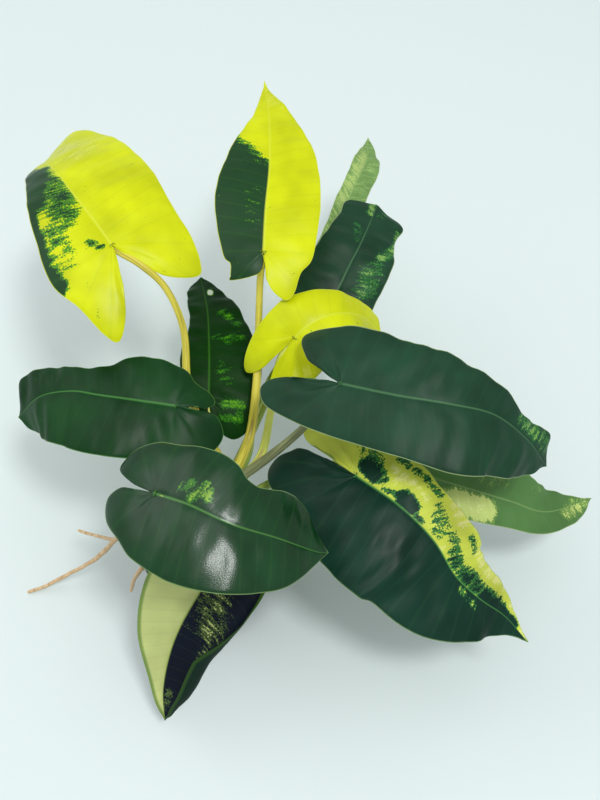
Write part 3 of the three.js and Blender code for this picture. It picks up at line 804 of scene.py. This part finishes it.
def make_leaf(name, slot, finish, stalk_finish, midrib, right, left, stalk, face=UPWARDS,
              grounds=(DARK, DARK), strokes=(), wave=0.8):
    """Blade and stalk as one object that replaces the plain leaf of the same name. The stalk is
    given by the share of the stem it leaves at and its points, and the face by the directions that
    the upper side looks at the stalk and at the tip."""
    leaf_names.append(name)
    leaf = {
        "path": Path(midrib), "face": face, "right": right, "left": left, "from": stalk[0],
        "through": stalk[1], "grounds": grounds, "strokes": strokes, "wave": wave,
    }
    shells = [blade_shell(leaf, finish, len(leaf_names)), stalk_shell(leaf, stalk_finish)]
    make_piece(name + "_blade_and_stalk", shells, slot, name)

# %% [markdown]
# ## The two large leaves at the top
#
# Both are lime and dark in halves, because the border of the unpigmented layer ran up the midrib. On
# the left one, dark green comes in speckles along one half, and a dark strip follows its margin. On
# the middle one, one half is dark up to a slanting border near the tip.

# %% The two large leaves at the top
make_leaf(
    "leaf_upper_left", "leaf_lime", LIME_SKIN, OCHRE_STALK,
    midrib=[(-50, 127, 210), (-61, 142, 213), (-74, 161, 212), (-90, 188, 203), (-104, 212, 186),
            (-110, 220, 163)],
    face=[(0.2, -0.35, 1), (-0.1, -0.1, 1)],
    right=half((45, 49, 48, 42, 31), 42, back=0.75, notch=0.37),
    left=half((42, 34, 25, 16, 8), 51, back=0.65, notch=0.37, full=0.7),
    stalk=(0.93, [(10, 34, 122), (-1, 50, 134), (-8, 68, 150), (-10, 94, 170), (-19, 109, 191),
                  (-33, 117, 204)]),
    grounds=(LIME, LIME),
    strokes=[
        (2.6, 14, [(88, 22), (108, 12)]),
        (-2.3, 11, [(90, -13), (66, -17), (58, -22)]),
        (-0.7, 9, [(62, -7), (42, -8), (32, -14)]),
        (-1.3, 4, [(26, -25), (21, -29)]),
        (MIDDLE, 4, [(28, -20), (12, -22), (4, -28)]),
        (-0.4, 2.5, [(2, -6), (9, -11)]),
        (MIDDLE, 4, [(30, -29), (12, -34), (-6, -37)]),
        (-2.6, 4, [(62, -25), (49, -29), (33, -34), (10, -41), (-6, -42)]),
        (LIME, 4, [(97, -3), (106, -3)]),
    ], wave=0.3)
make_leaf(
    "leaf_upper_centre", "leaf_lime", LIME_SKIN, OCHRE_STALK,
    midrib=[(38, 130, 200), (39, 157, 206), (41, 191, 208), (40, 230, 206), (36, 272, 198)],
    face=[(0, -0.2, 1), (0, -0.1, 1)],
    right=half((30, 33, 28, 14, 3), 29, back=0.47, notch=0.17, full=0.6),
    left=half((25, 32, 27, 10, 2), 18, back=0.75, notch=0.1, full=0.2),
    stalk=(0.98, [(29, 48, 124), (33, 74, 142), (34, 97, 156), (35, 114, 174), (36, 122, 188)]),
    grounds=(LIME, -1.9),
    strokes=[
        (-1.2, 6, [(22, -8), (38, -9)]),
        (LIME, 9, [(72, 2), (92, -10), (108, -18)]),
        (LIME, 16, [(98, -5), (140, -3)]),
        (2.4, 12, [(122, 5), (142, 2)]),
    ], wave=0.4)

# %% [markdown]
# ## The dark leaves
#
# Four leaves are nearly all dark green. A few lime speckles show where the unpigmented layer comes
# through in small clusters. Their gloss shows best, because dark green hides nothing of it.

# %% The dark leaves
make_leaf(
    "leaf_left", "leaf_green", DARK_SKIN, GREEN_STALK,
    midrib=[(-12, 42, 170), (-34, 44, 173), (-56, 48, 172), (-74, 53, 168), (-95, 56, 156),
            (-111, 54, 136)],
    face=[(0, -0.2, 1), (0, -0.1, 1)],
    right=half((25, 28, 16, 19, 19), 24, back=0.3, notch=0.1, full=0.6),
    left=half((32, 35, 34, 27, 15), 31, back=0.35, notch=0.05),
    stalk=(0.87, [(2, 25, 122), (0, 34, 145), (-4, 39, 163)]),
    strokes=[(-1.4, 7, [(88, 9), (106, 12)]), (-1.7, 9, [(62, -15), (92, -15)])])
make_leaf(
    "leaf_front", "leaf_green", SHINY_SKIN, GREEN_STALK,
    midrib=[(-17, -23, 190), (1, -31, 194), (24, -41, 191), (47, -44, 180), (67, -45, 164),
            (75, -43, 156)],
    face=[(-0.2, -0.2, 1), (0.3, -0.1, 1)],
    right=half((37, 41, 35, 25, 6), 33, back=0.25, notch=0.05, full=0.8),
    left=half((30, 33, 25, 27, 12), 33, back=0.33, notch=0.15),
    stalk=(0.95, [(10, 8, 132), (-4, -6, 152), (-15, -17, 174)]),
    strokes=[
        (-0.1, 3.2, [(13, -6), (17, -11)]),
        (0.2, 3.2, [(20, -3), (24, -8)]),
        (0.2, 3.2, [(25, -13), (30, -7)]),
    ], wave=0.4)
make_leaf(
    "leaf_right", "leaf_green", GREYED_SKIN, OLIVE_STALK,
    midrib=[(82, 39, 200), (112, 28, 206), (141, 23, 205), (166, 22, 195), (187, 17, 175),
            (201, 11, 154)],
    face=[(-0.1, -0.2, 1), (0.3, -0.2, 1)],
    right=half((30, 33, 38, 30, 15), 52, back=0.28, notch=0.05, full=0.9),
    left=half((37, 34, 27, 12, 15), 37, back=0.7, notch=0.35, full=0.9),
    stalk=(0.87, [(36, 27, 127), (60, 32, 159), (75, 37, 187)]),
    strokes=[(-0.2, 7, [(112, -8), (136, -8)])])
make_leaf(
    "leaf_back_left", "leaf_green", FRESH_SKIN, LIME_STALK,
    midrib=[(3, 70, 130), (3, 87, 135), (2, 108, 135), (-1, 139, 128), (-8, 174, 114)],
    face=[(0, -0.2, 1), (0, -0.2, 1)],
    right=half((31, 33, 25, 15, 6), 26),
    left=half((17, 19, 13, 12, 10), 22),
    stalk=(0.81, [(7, 38, 110), (4, 56, 121)]),
    strokes=[
        (-0.1, 4, [(40, 12), (43, 20)]),
        (-0.3, 4, [(65, 9), (54, 18)]),
        (-0.6, 2.5, [(42, 3), (43, 6)]),
        (-0.9, 5, [(22, 7), (8, 13)]),
        (0.2, 3.5, [(-3, 11), (-4, 21)]),
        (-0.3, 3.5, [(-12, 8), (-12, 20)]),
        (SPOT, 1.7, [(87, 4), (89, 4)]),
    ])

# %% [markdown]
# ## The marbled leaf at the lower right
#
# Its right half is dark, and its left half is pale yellow-green with dark blotches, fine speckles
# towards the tip and a grey-green strip along the margin.

# %% The marbled leaf at the lower right
make_leaf(
    "leaf_lower_right", "leaf_green", HALF_SKIN, OLIVE_STALK,
    midrib=[(92, 7, 150), (116, -13, 152), (135, -30, 143), (148, -46, 129), (163, -55, 116),
            (179, -61, 103), (193, -72, 90)],
    face=[(-0.1, -0.2, 1), (0.3, -0.2, 1)],
    right=half((49, 55, 47, 24, 6), 62, back=0.4, notch=0.1, full=0.7, bend=-40),
    left=half((33, 26, 25, 18, 4), 58, back=0.7, notch=0.1, full=0.9),
    stalk=(0.76, [(26, 8, 110), (50, 13, 120), (76, 10, 137)]),
    grounds=(DARK, 2.7),
    strokes=[
        (LIME, 14, [(-16, -14), (-46, -18)]),
        (MIDDLE, 5, [(-6, -16), (6, -15)]),
        (-0.2, 3.6, [(14, -23), (28, -22), (44, -22)]),
        (-2.4, 5, [(2, -8), (9, -6)]),
        (-0.4, 3.4, [(12, -11), (15, -8)]),
        (MIDDLE, 2.4, [(18, -2), (24, -4)]),
        (-2.6, 5.5, [(31, -5), (36, -4)]),
        (-1.0, 2.2, [(44, -2), (47, -2)]),
        (-0.2, 5, [(48, -15), (54, -12)]),
        (-0.2, 4.4, [(52, -8), (57, -4)]),
        (-0.2, 5, [(64, -11), (71, -7)]),
        (-0.2, 3.6, [(70, -20), (80, -18)]),
        (-0.3, 7, [(76, -4), (92, -5)]),
        (-0.8, 6, [(92, -5), (118, -4)]),
        (-2.4, 3.5, [(108, -1), (134, -1)]),
        (-0.35, 2.8, [(91, 3), (103, 6)]),
    ])

# %% [markdown]
# ## The leaf that hangs over the front
#
# One half is pale lime with a dark edge. The other is dark green with fine specks, painted almost
# navy as a dark reflection, and its margin rolls over towards the upper face, so its underside
# shows. The roll is the curl of the cross-section again, only far past a right angle.

# %% The leaf that hangs over the front
make_leaf(
    "leaf_hanging_front", "leaf_pale", PALE_SKIN, GREEN_STALK,
    midrib=[(14, -26, 114), (1, -43, 100), (-12, -58, 80), (-20, -71, 62), (-25, -87, 42),
            (-25, -101, 24)],
    face=[(0, -0.9, 0.45), (0, -1, 0.3)],
    right=half((33, 33, 24, 10, 4), 24, curl=(-10, -10)),
    left=half((34, 42, 44, 36, 15), 24, curl=(50, 220, 225), roll=2.2),
    stalk=(0.55, [(4, -8, 96), (8, -20, 108)]),
    grounds=(LIME, -2.0),
    strokes=[
        (-1.0, 12, [(20, -4), (46, -8)]),
        (-0.4, 9, [(20, -9), (36, -15), (50, -20)]),
        (-0.6, 3, [(50, -23), (75, -18)]),
        (-0.7, 3, [(104, -4), (116, -1)]),
    ], wave=0.1)

# %% [markdown]
# ## The other leaves on the right and behind
#
# Two of them are grey-green and duller than the rest, because they are the oldest and stand lowest.
# The small one in the middle is the newest, all lime and folded along its midrib.

# %% The other leaves on the right and behind
make_leaf(
    "leaf_far_right", "leaf_grey_green", GREY_SKIN, GREEN_STALK,
    midrib=[(125, 33, 106), (160, 21, 106), (190, 16, 96), (216, 15, 82), (250, 32, 66)],
    right=half((24, 20, 17, 13, 8), 30),
    left=half((24, 26, 24, 16, 3), 30),
    stalk=(0.57, [(26, 18, 98), (60, 32, 107), (100, 38, 106)]),
    strokes=[
        (2.2, 8, [(34, 10), (53, 10)]),
        (-0.9, 6, [(44, -10), (63, -10)]),
        (-1.0, 4, [(86, -13), (94, -14)]),
        (0.0, 6, [(114, 3), (132, 1)]),
        (-0.4, 4, [(116, -2), (130, -1)]),
    ])
make_leaf(
    "leaf_centre", "leaf_lime", LIME_SKIN, LIME_STALK,
    midrib=[(57, 86, 175), (63, 90, 180), (75, 96, 182), (87, 101, 178), (98, 105, 168),
            (109, 106, 151)],
    right=half((26, 30, 28, 24, 12), 42, back=0.35, notch=0.15),
    left=half((24, 21, 15, 10, 8), 43, notch=0.2),
    stalk=(0.8, [(34, 39, 108), (41, 66, 118), (44, 74, 137), (48, 81, 160)]),
    grounds=(LIME, LIME), strokes=[(2.6, 8, [(-30, 14), (-10, 22)])], wave=0.5)
make_leaf(
    "leaf_back_right", "leaf_green", GREYED_SKIN, GREEN_STALK,
    midrib=[(74, 122, 138), (83, 138, 148), (91, 154, 154), (100, 173, 157), (111, 207, 150)],
    right=half((24, 26, 26, 21, 22), 26),
    left=half((27, 27, 25, 21, 20), 26, back=0.5),
    stalk=(0.68, [(26, 45, 99), (30, 71, 104), (43, 101, 111), (60, 117, 124)]),
    strokes=[
        (-0.3, 7, [(28, 14), (42, 11)]),
        (-0.5, 5, [(30, 20), (48, 18)]),
        (0.0, 4, [(55, 16), (62, 20)]),
        (0.3, 3.4, [(66, 22), (82, 21)]),
        (0.3, 3, [(86, -2), (97, -3)]),
        (-0.6, 4, [(60, -3), (70, -7)]),
        (-0.8, 4, [(88, 5), (94, 9)]),
    ])
make_leaf(
    "leaf_far_back", "leaf_grey_green", HAZY_SKIN, GREEN_STALK,
    midrib=[(75, 185, 110), (84, 206, 120), (91, 226, 127), (100, 249, 128), (107, 270, 125),
            (109, 297, 118)],
    right=half((14, 12, 12, 11, 5), 20),
    left=half((11, 9, 8, 9, 3), 20),
    stalk=(0.5, [(16, 38, 89), (38, 90, 95), (62, 150, 102)]),
    grounds=(-0.8, -0.5),
    strokes=[(0.5, 3, [(50, -4), (98, -3)])])

# %% [markdown]
# ## Aerial roots
#
# An aerial root is a tough cord with a dry, tan skin that cracks crosswise as it thickens, so the eye
# sees dull pale bands. It is a tube again, with a slightly knobbly radius, because nothing on a root
# is quite round. The long one carries one side branch.

# %% Aerial roots
ROOT_BAND_MM = (1.111, 4, 1)  # short along the root and long round it
ROOT_SIDES = 20
ROOT_RING_SPACING_MM = 0.9
ROOT_START_MM = 3
ROOT_SKIN = grainy_finish(
    "dry_aerial_root_skin", ROOT_BAND_MM,
    [(0.3, 0xaa8055), (0.45, 0xcfac7e), (0.6, 0xe0c59c), (0.75, 0xebd9b8)],
    bump=(0.5, 0.5), roughness=0.72, uv_map="veins")


def root(points, base, end):
    """Tube whose radius goes evenly from base to end, with small swellings along and round it."""
    def radius(share, angle):
        knobs = 1 + 0.07 * np.sin(61 * share + 2 * np.sin(angle)) + 0.05 * np.sin(23 * share + 1)
        return (base + (end - base) * share) * knobs
    return tube(Path(points), radius, ROOT_SIDES, ROOT_RING_SPACING_MM, ROOT_SKIN, ROOT_START_MM)


LONG_ROOT = [(5, 8, 89), (-12, 5, 93), (-30, 2, 95), (-46, 1, 90), (-58, 2, 68), (-75, -1, 42),
             (-100, -3, 16), (-115, -6, 5), (-127, -9, 1.6)]
ROOT_BRANCH = [(-58, 2, 68), (-65, 7, 58), (-78, 13, 51), (-87, 17, 48)]
SHORT_ROOT = [(3, 6, 84), (-8, -4, 87), (-20, -14, 91), (-35, -26, 92), (-42, -29, 80),
              (-46, -28, 62), (-48, -27, 53)]
make_piece("aerial_root_long_cord", [root(LONG_ROOT, 2.0, 1.1), root(ROOT_BRANCH, 1.2, 0.9)],
           "aerial_root", "aerial_root_long")
make_piece("aerial_root_short_cord", [root(SHORT_ROOT, 1.8, 1.0)],
           "aerial_root", "aerial_root_short")

# %% [markdown]
# ## The pot
#
# A nursery pot is injection moulded polypropylene: a tapered wall, a thicker band at the rim to
# stack and grip it by, and holes in its floor. It is a profile turned round an axis, and the holes
# are cut with cylinders. Polypropylene is translucent plastic with a soft satin surface, here
# coloured nearly black. Handling leaves faint dusty scuffs, which the eye sees as paler, duller
# streaks round the wall.

# %% A profile turned round the axis
def rounded(corners, radius, steps=5):
    """Each inner corner of a polyline gives way to a curve (1-s)^2 a + 2 s (1-s) c + s^2 b, from a
    on one side to b on the other, at most a radius from the corner c."""
    corners = np.asarray(corners, float)
    s = np.linspace(0, 1, steps)[:, None]
    points = [corners[:1]]
    for before, corner, after in zip(corners[:-2], corners[1:-1], corners[2:]):
        sides = [other - corner for other in (before, after)]
        ends = [corner + side * min(radius / np.linalg.norm(side), 0.4) for side in sides]
        points.append((1 - s) ** 2 * ends[0] + 2 * s * (1 - s) * corner + s**2 * ends[1])
    return np.vstack([*points, corners[-1:]])


def turned(profile, sides, material, centre=(0, 0, 0), lift=None):
    """Profile (radius, height) turned round the Z axis and moved to its centre. Its first and last
    points are on the axis. lift, where given, adds a height to each point."""
    profile = np.asarray(profile, float)
    angle = np.linspace(0, 2 * math.pi, sides, endpoint=False)
    r, z = profile[:, :1], np.broadcast_to(profile[:, 1:], (len(profile), sides))
    points = np.stack([r * np.cos(angle), r * np.sin(angle), z], -1) + centre
    if lift:
        points[..., 2] += lift(points[..., 0], points[..., 1], points[..., 2])
    return shell(points.reshape(-1, 3), ring_triangles(len(profile), sides), material)


print("a rounded square corner has", len(rounded([(1, 0), (0, 0), (0, 1)], 0.2)) - 2, "points")

# %% The plastic of the pot
SCUFF_MM = (16.7, 16.7, 4.17)
PEEL_MM = 1.11  # a real orange peel texture is half of this, drawn coarser so that it shows


def pot_plastic():
    """Moulded satin plastic: fine orange peel bump, and dusty scuffs where a noise is high."""
    material, tree, shader = start_finish("moulded_polypropylene_black")
    scuffs = noise(tree, SCUFF_MM, 6)
    set_inputs(tree, shader, {
        "Base Color": add(tree, "ValToRGB", {"Fac": scuffs}, [
            (0.4, 0x242629), (0.58, 0x2d2f31), (0.7, 0x4a4945)]),
        "Roughness": add(tree, "MapRange", {
            "Value": scuffs, "From Min": 0.4, "From Max": 0.7, "To Min": 0.38, "To Max": 0.62}),
        "Normal": add(tree, "Bump", {
            "Height": noise(tree, PEEL_MM, 2), "Strength": 0.12, "Distance": 0.4 * MM}),
        "IOR": 1.49})
    return material


POT_PLASTIC = pot_plastic()
print("pot finish:", POT_PLASTIC.name)

# %% The pot
POT_HEIGHT = 85
POT_BASE_RADIUS = 35
POT_RIM_RADIUS = 43
POT_WALL = 1.6
POT_FLOOR = 2.4
RIM_BAND_HEIGHT = 11
RIM_BAND_STEP = 2.2
RIM_STEP_HEIGHT = 0.8
RIM_BAND_TAPER = 0.6
RIM_WIDTH = 2.8
EDGE_RADIUS = 1.0
POT_SIDES = 160
DRAIN_HOLES = 6
DRAIN_HOLE_RADIUS = 4
DRAIN_HOLE_RING = 25
DRILL_REACH = 9
DRILL_SIDES = 32
BAND_BOTTOM = POT_HEIGHT - RIM_BAND_HEIGHT


def wall_radius(z):
    """Outer radius of the wall: a straight line from the base to the foot of the rim band."""
    return POT_BASE_RADIUS + (POT_RIM_RADIUS - RIM_BAND_STEP - POT_BASE_RADIUS) * z / BAND_BOTTOM


pot_corners = [
    (0, 0), (POT_BASE_RADIUS, 0), (wall_radius(BAND_BOTTOM), BAND_BOTTOM),
    (POT_RIM_RADIUS - RIM_BAND_TAPER, BAND_BOTTOM + RIM_STEP_HEIGHT), (POT_RIM_RADIUS, POT_HEIGHT),
    (POT_RIM_RADIUS - RIM_WIDTH, POT_HEIGHT), (wall_radius(BAND_BOTTOM) - POT_WALL, BAND_BOTTOM),
    (wall_radius(POT_FLOOR) - POT_WALL, POT_FLOOR), (0, POT_FLOOR)]
pot_shell = turned(rounded(pot_corners, EDGE_RADIUS), POT_SIDES, POT_PLASTIC)
pot = make_piece("nursery_pot", [pot_shell], "pot", "pot")
drill_profile = [(0, -DRILL_REACH), (DRAIN_HOLE_RADIUS, -DRILL_REACH),
                 (DRAIN_HOLE_RADIUS, DRILL_REACH), (0, DRILL_REACH)]
drills = []
for k in range(DRAIN_HOLES):
    angle = 2 * math.pi * k / DRAIN_HOLES
    centre = DRAIN_HOLE_RING * np.array([math.cos(angle), math.sin(angle), 0])
    drills.append(make_piece(f"drill_{k}", [turned(drill_profile, DRILL_SIDES, POT_PLASTIC, centre)],
                             "pot"))
    cut = pot.modifiers.new(f"hole_{k}", "BOOLEAN")
    cut.operation = "DIFFERENCE"
    cut.object = drills[-1]
holed = bpy.data.meshes.new_from_object(pot.evaluated_get(bpy.context.evaluated_depsgraph_get()))
pot.modifiers.clear()
pot.data = holed
for drill in drills:
    bpy.data.objects.remove(drill)
print("pot with holes:", len(holed.polygons), "faces")

# %% [markdown]
# ## Potting mix
#
# A mix for aroids is peat with bark chips and white perlite, all dull and crumbly, so none of it
# shines. The body of it is one turned profile whose top is a bumpy mound. A few hundred loose pieces
# lie half sunk in it. Each is a low ball of two dozen points, squashed and turned at random, and
# all of them are worked out as one array. The random numbers come from a fixed seed, so each run
# gives the same pot.

# %% Potting mix
SOIL_LEVEL = 76
SOIL_SHOULDER = SOIL_LEVEL - 3
SOIL_MOUND = 2.5
SOIL_BUMP = 0.9
SOIL_CRUMB = 0.35
POT_GAP = 0.3
SOIL_FOOT = POT_FLOOR + POT_GAP
SOIL_RADIUS = wall_radius(SOIL_SHOULDER) - POT_WALL - POT_GAP


def crumbly(name, grain_mm, strength, *colours):
    """Rough, dull material in colours that are spread evenly over the middle of the noise."""
    stops = [(0.3 + 0.4 * k / (len(colours) - 1), colour) for k, colour in enumerate(colours)]
    return grainy_finish(name, (grain_mm,) * 3, stops, bump=(strength, 1.2), roughness=0.95,
                         detail=6, coarse=0.65)


def soil_height(x, y):
    """Mound 2.5 mm high in the middle, long soft bumps, and crumbs a few millimetres wide."""
    mound = SOIL_MOUND * (1 - np.hypot(x, y) / SOIL_RADIUS)
    bumps = SOIL_BUMP * np.sin(x / 5) * np.cos(y / 6 + 1)
    crumbs = np.sin(2.1 * x + 3 * np.sin(0.7 * y)) * np.sin(1.9 * y + 2 * np.sin(0.9 * x))
    return mound + bumps + SOIL_CRUMB * crumbs


PEAT = crumbly("damp_peat_and_bark_mix", 3.85, 0.9, 0x1f1610, 0x33241a, 0x4a3626, 0x6a5038)
soil_profile = [(0, SOIL_FOOT), (wall_radius(SOIL_FOOT) - POT_WALL - POT_GAP, SOIL_FOOT),
                (SOIL_RADIUS, SOIL_SHOULDER)]
soil_profile += [(SOIL_RADIUS * share, SOIL_LEVEL) for share in np.linspace(0.97, 0, 60)]
soil = turned(soil_profile, POT_SIDES, PEAT,
              lift=lambda x, y, z: np.where(z > SOIL_SHOULDER, soil_height(x, y), 0))
make_piece("potting_mix_body", [soil], "potting_mix", "potting_mix")

# %% Bark chips and perlite
SEED = 7
STEM_CLEARANCE_MM = 10
WALL_CLEARANCE_MM = 3
STEM_SHARE_AT_SOIL = 0.38
GRAIN_SIDES = 7
LIE_FLAT = 2.0  # how strongly each grain's third axis is drawn upright
grain_arc = np.radians([0, 45, 90, 135, 180])
random = np.random.default_rng(SEED)


def scattered(material, count, size, flatness):
    """Balls of a few faces: each is scaled by its own three sizes, turned by its own random frame,
    and set on the mix at a place that is even over the disc, since the radius is R sqrt(u)."""
    grain = turned(np.stack([np.sin(grain_arc), np.cos(grain_arc)], -1), GRAIN_SIDES, material)
    reach = (SOIL_RADIUS - WALL_CLEARANCE_MM) * np.sqrt(random.random(count))
    around = 2 * math.pi * random.random(count)
    x, y = reach * np.cos(around), reach * np.sin(around)
    stem = STEM_PATH.at(STEM_PATH.length * STEM_SHARE_AT_SOIL)
    clear = np.hypot(x - stem[0], y - stem[1]) > STEM_CLEARANCE_MM
    x, y = x[clear], y[clear]
    scale = size * (0.6 + 0.8 * random.random((len(x), 3))) * (1, 0.75, flatness)
    frames, _ = np.linalg.qr(random.normal(size=(len(x), 3, 3)))
    frames[:, :, 2] += (0, 0, LIE_FLAT)
    frames = unit(frames)
    places = np.stack([x, y, SOIL_LEVEL + soil_height(x, y) + 0.25 * size], -1)
    points = np.einsum("nij,vj,nj->nvi", frames, grain["vertices"], scale) + places[:, None]
    offsets = len(grain["vertices"]) * np.arange(len(x))
    triangles = grain["triangles"][None] + offsets[:, None, None]
    return shell(points.reshape(-1, 3), triangles.reshape(-1, 3), material)


CHIP_BARK = crumbly("composted_bark", 2.38, 0.7, 0x2b1b10, 0x4f3319, 0x74502c, 0x94704a)
PERLITE = crumbly("expanded_perlite", 1.11, 0.5, 0xb9b6ab, 0xd8d6cc, 0xeceae2)
chips = scattered(CHIP_BARK, count=360, size=2.3, flatness=0.45)
make_piece("bark_chips", [chips], "potting_mix")
grains = scattered(PERLITE, count=150, size=1.1, flatness=0.8)
make_piece("perlite_grains", [grains], "potting_mix")

# %% [markdown]
# ## Floor and light
#
# The plant stands on a plain pale floor. A very large soft light hangs over it, so its shadows have
# no edges and lie under the leaves. A small one beside it gives the glossiest leaves one clear
# highlight where their skin turns towards it, and a third fills in from the left. A pale sky keeps the
# shadows open.

# %% Floor and light
FLOOR_COLOUR = 0xdce7e5
FLOOR_REACH = 3
SKY_COLOUR = 0xf2f6fa
SKY_STRENGTH = 0.6


def lamp(name, place, aim, size, power):
    """Square area light that looks from its place to the point it is aimed at, in metres."""
    data = bpy.data.lights.new(name, "AREA")
    data.energy, data.size = power, size
    made = linked(name, data)
    made.location = place
    towards = unit(np.array(aim, float) - place)
    made.rotation_euler = (math.acos(-towards[2]), 0, math.atan2(-towards[0], towards[1]))


floor_finish, floor_tree, floor_shader = start_finish("plain_matte_floor")
set_inputs(floor_tree, floor_shader, {"Base Color": linear(FLOOR_COLOUR), "Roughness": 0.9})
floor_corners = [(FLOOR_REACH * x, FLOOR_REACH * y, 0) for x, y in ((-1, -1), (1, -1), (1, 1), (-1, 1))]
floor_mesh = bpy.data.meshes.new("floor")
floor_mesh.from_pydata(floor_corners, [], [(0, 1, 2, 3)])
floor_mesh.materials.append(floor_finish)
floor = linked("floor", floor_mesh)

lamp("key_light", (0.1, -0.2, 2.2), (0.05, 0.05, 0.15), 1.7, 10)
lamp("glint_light", (0.45, -0.52, 2.1), (0.05, 0.05, 0.15), 0.3, 17)
lamp("fill_light", (-1.3, 0.5, 1.5), (0.03, 0.05, 0.15), 1.4, 8)
sky = bpy.data.worlds.new("pale_studio")
sky.use_nodes = True
set_inputs(sky.node_tree, sky.node_tree.nodes["Background"], {
    "Color": linear(SKY_COLOUR), "Strength": SKY_STRENGTH})
bpy.context.scene.world = sky
bpy.context.scene.view_settings.view_transform = "Standard"
print("lights:", [light.name for light in bpy.data.lights])
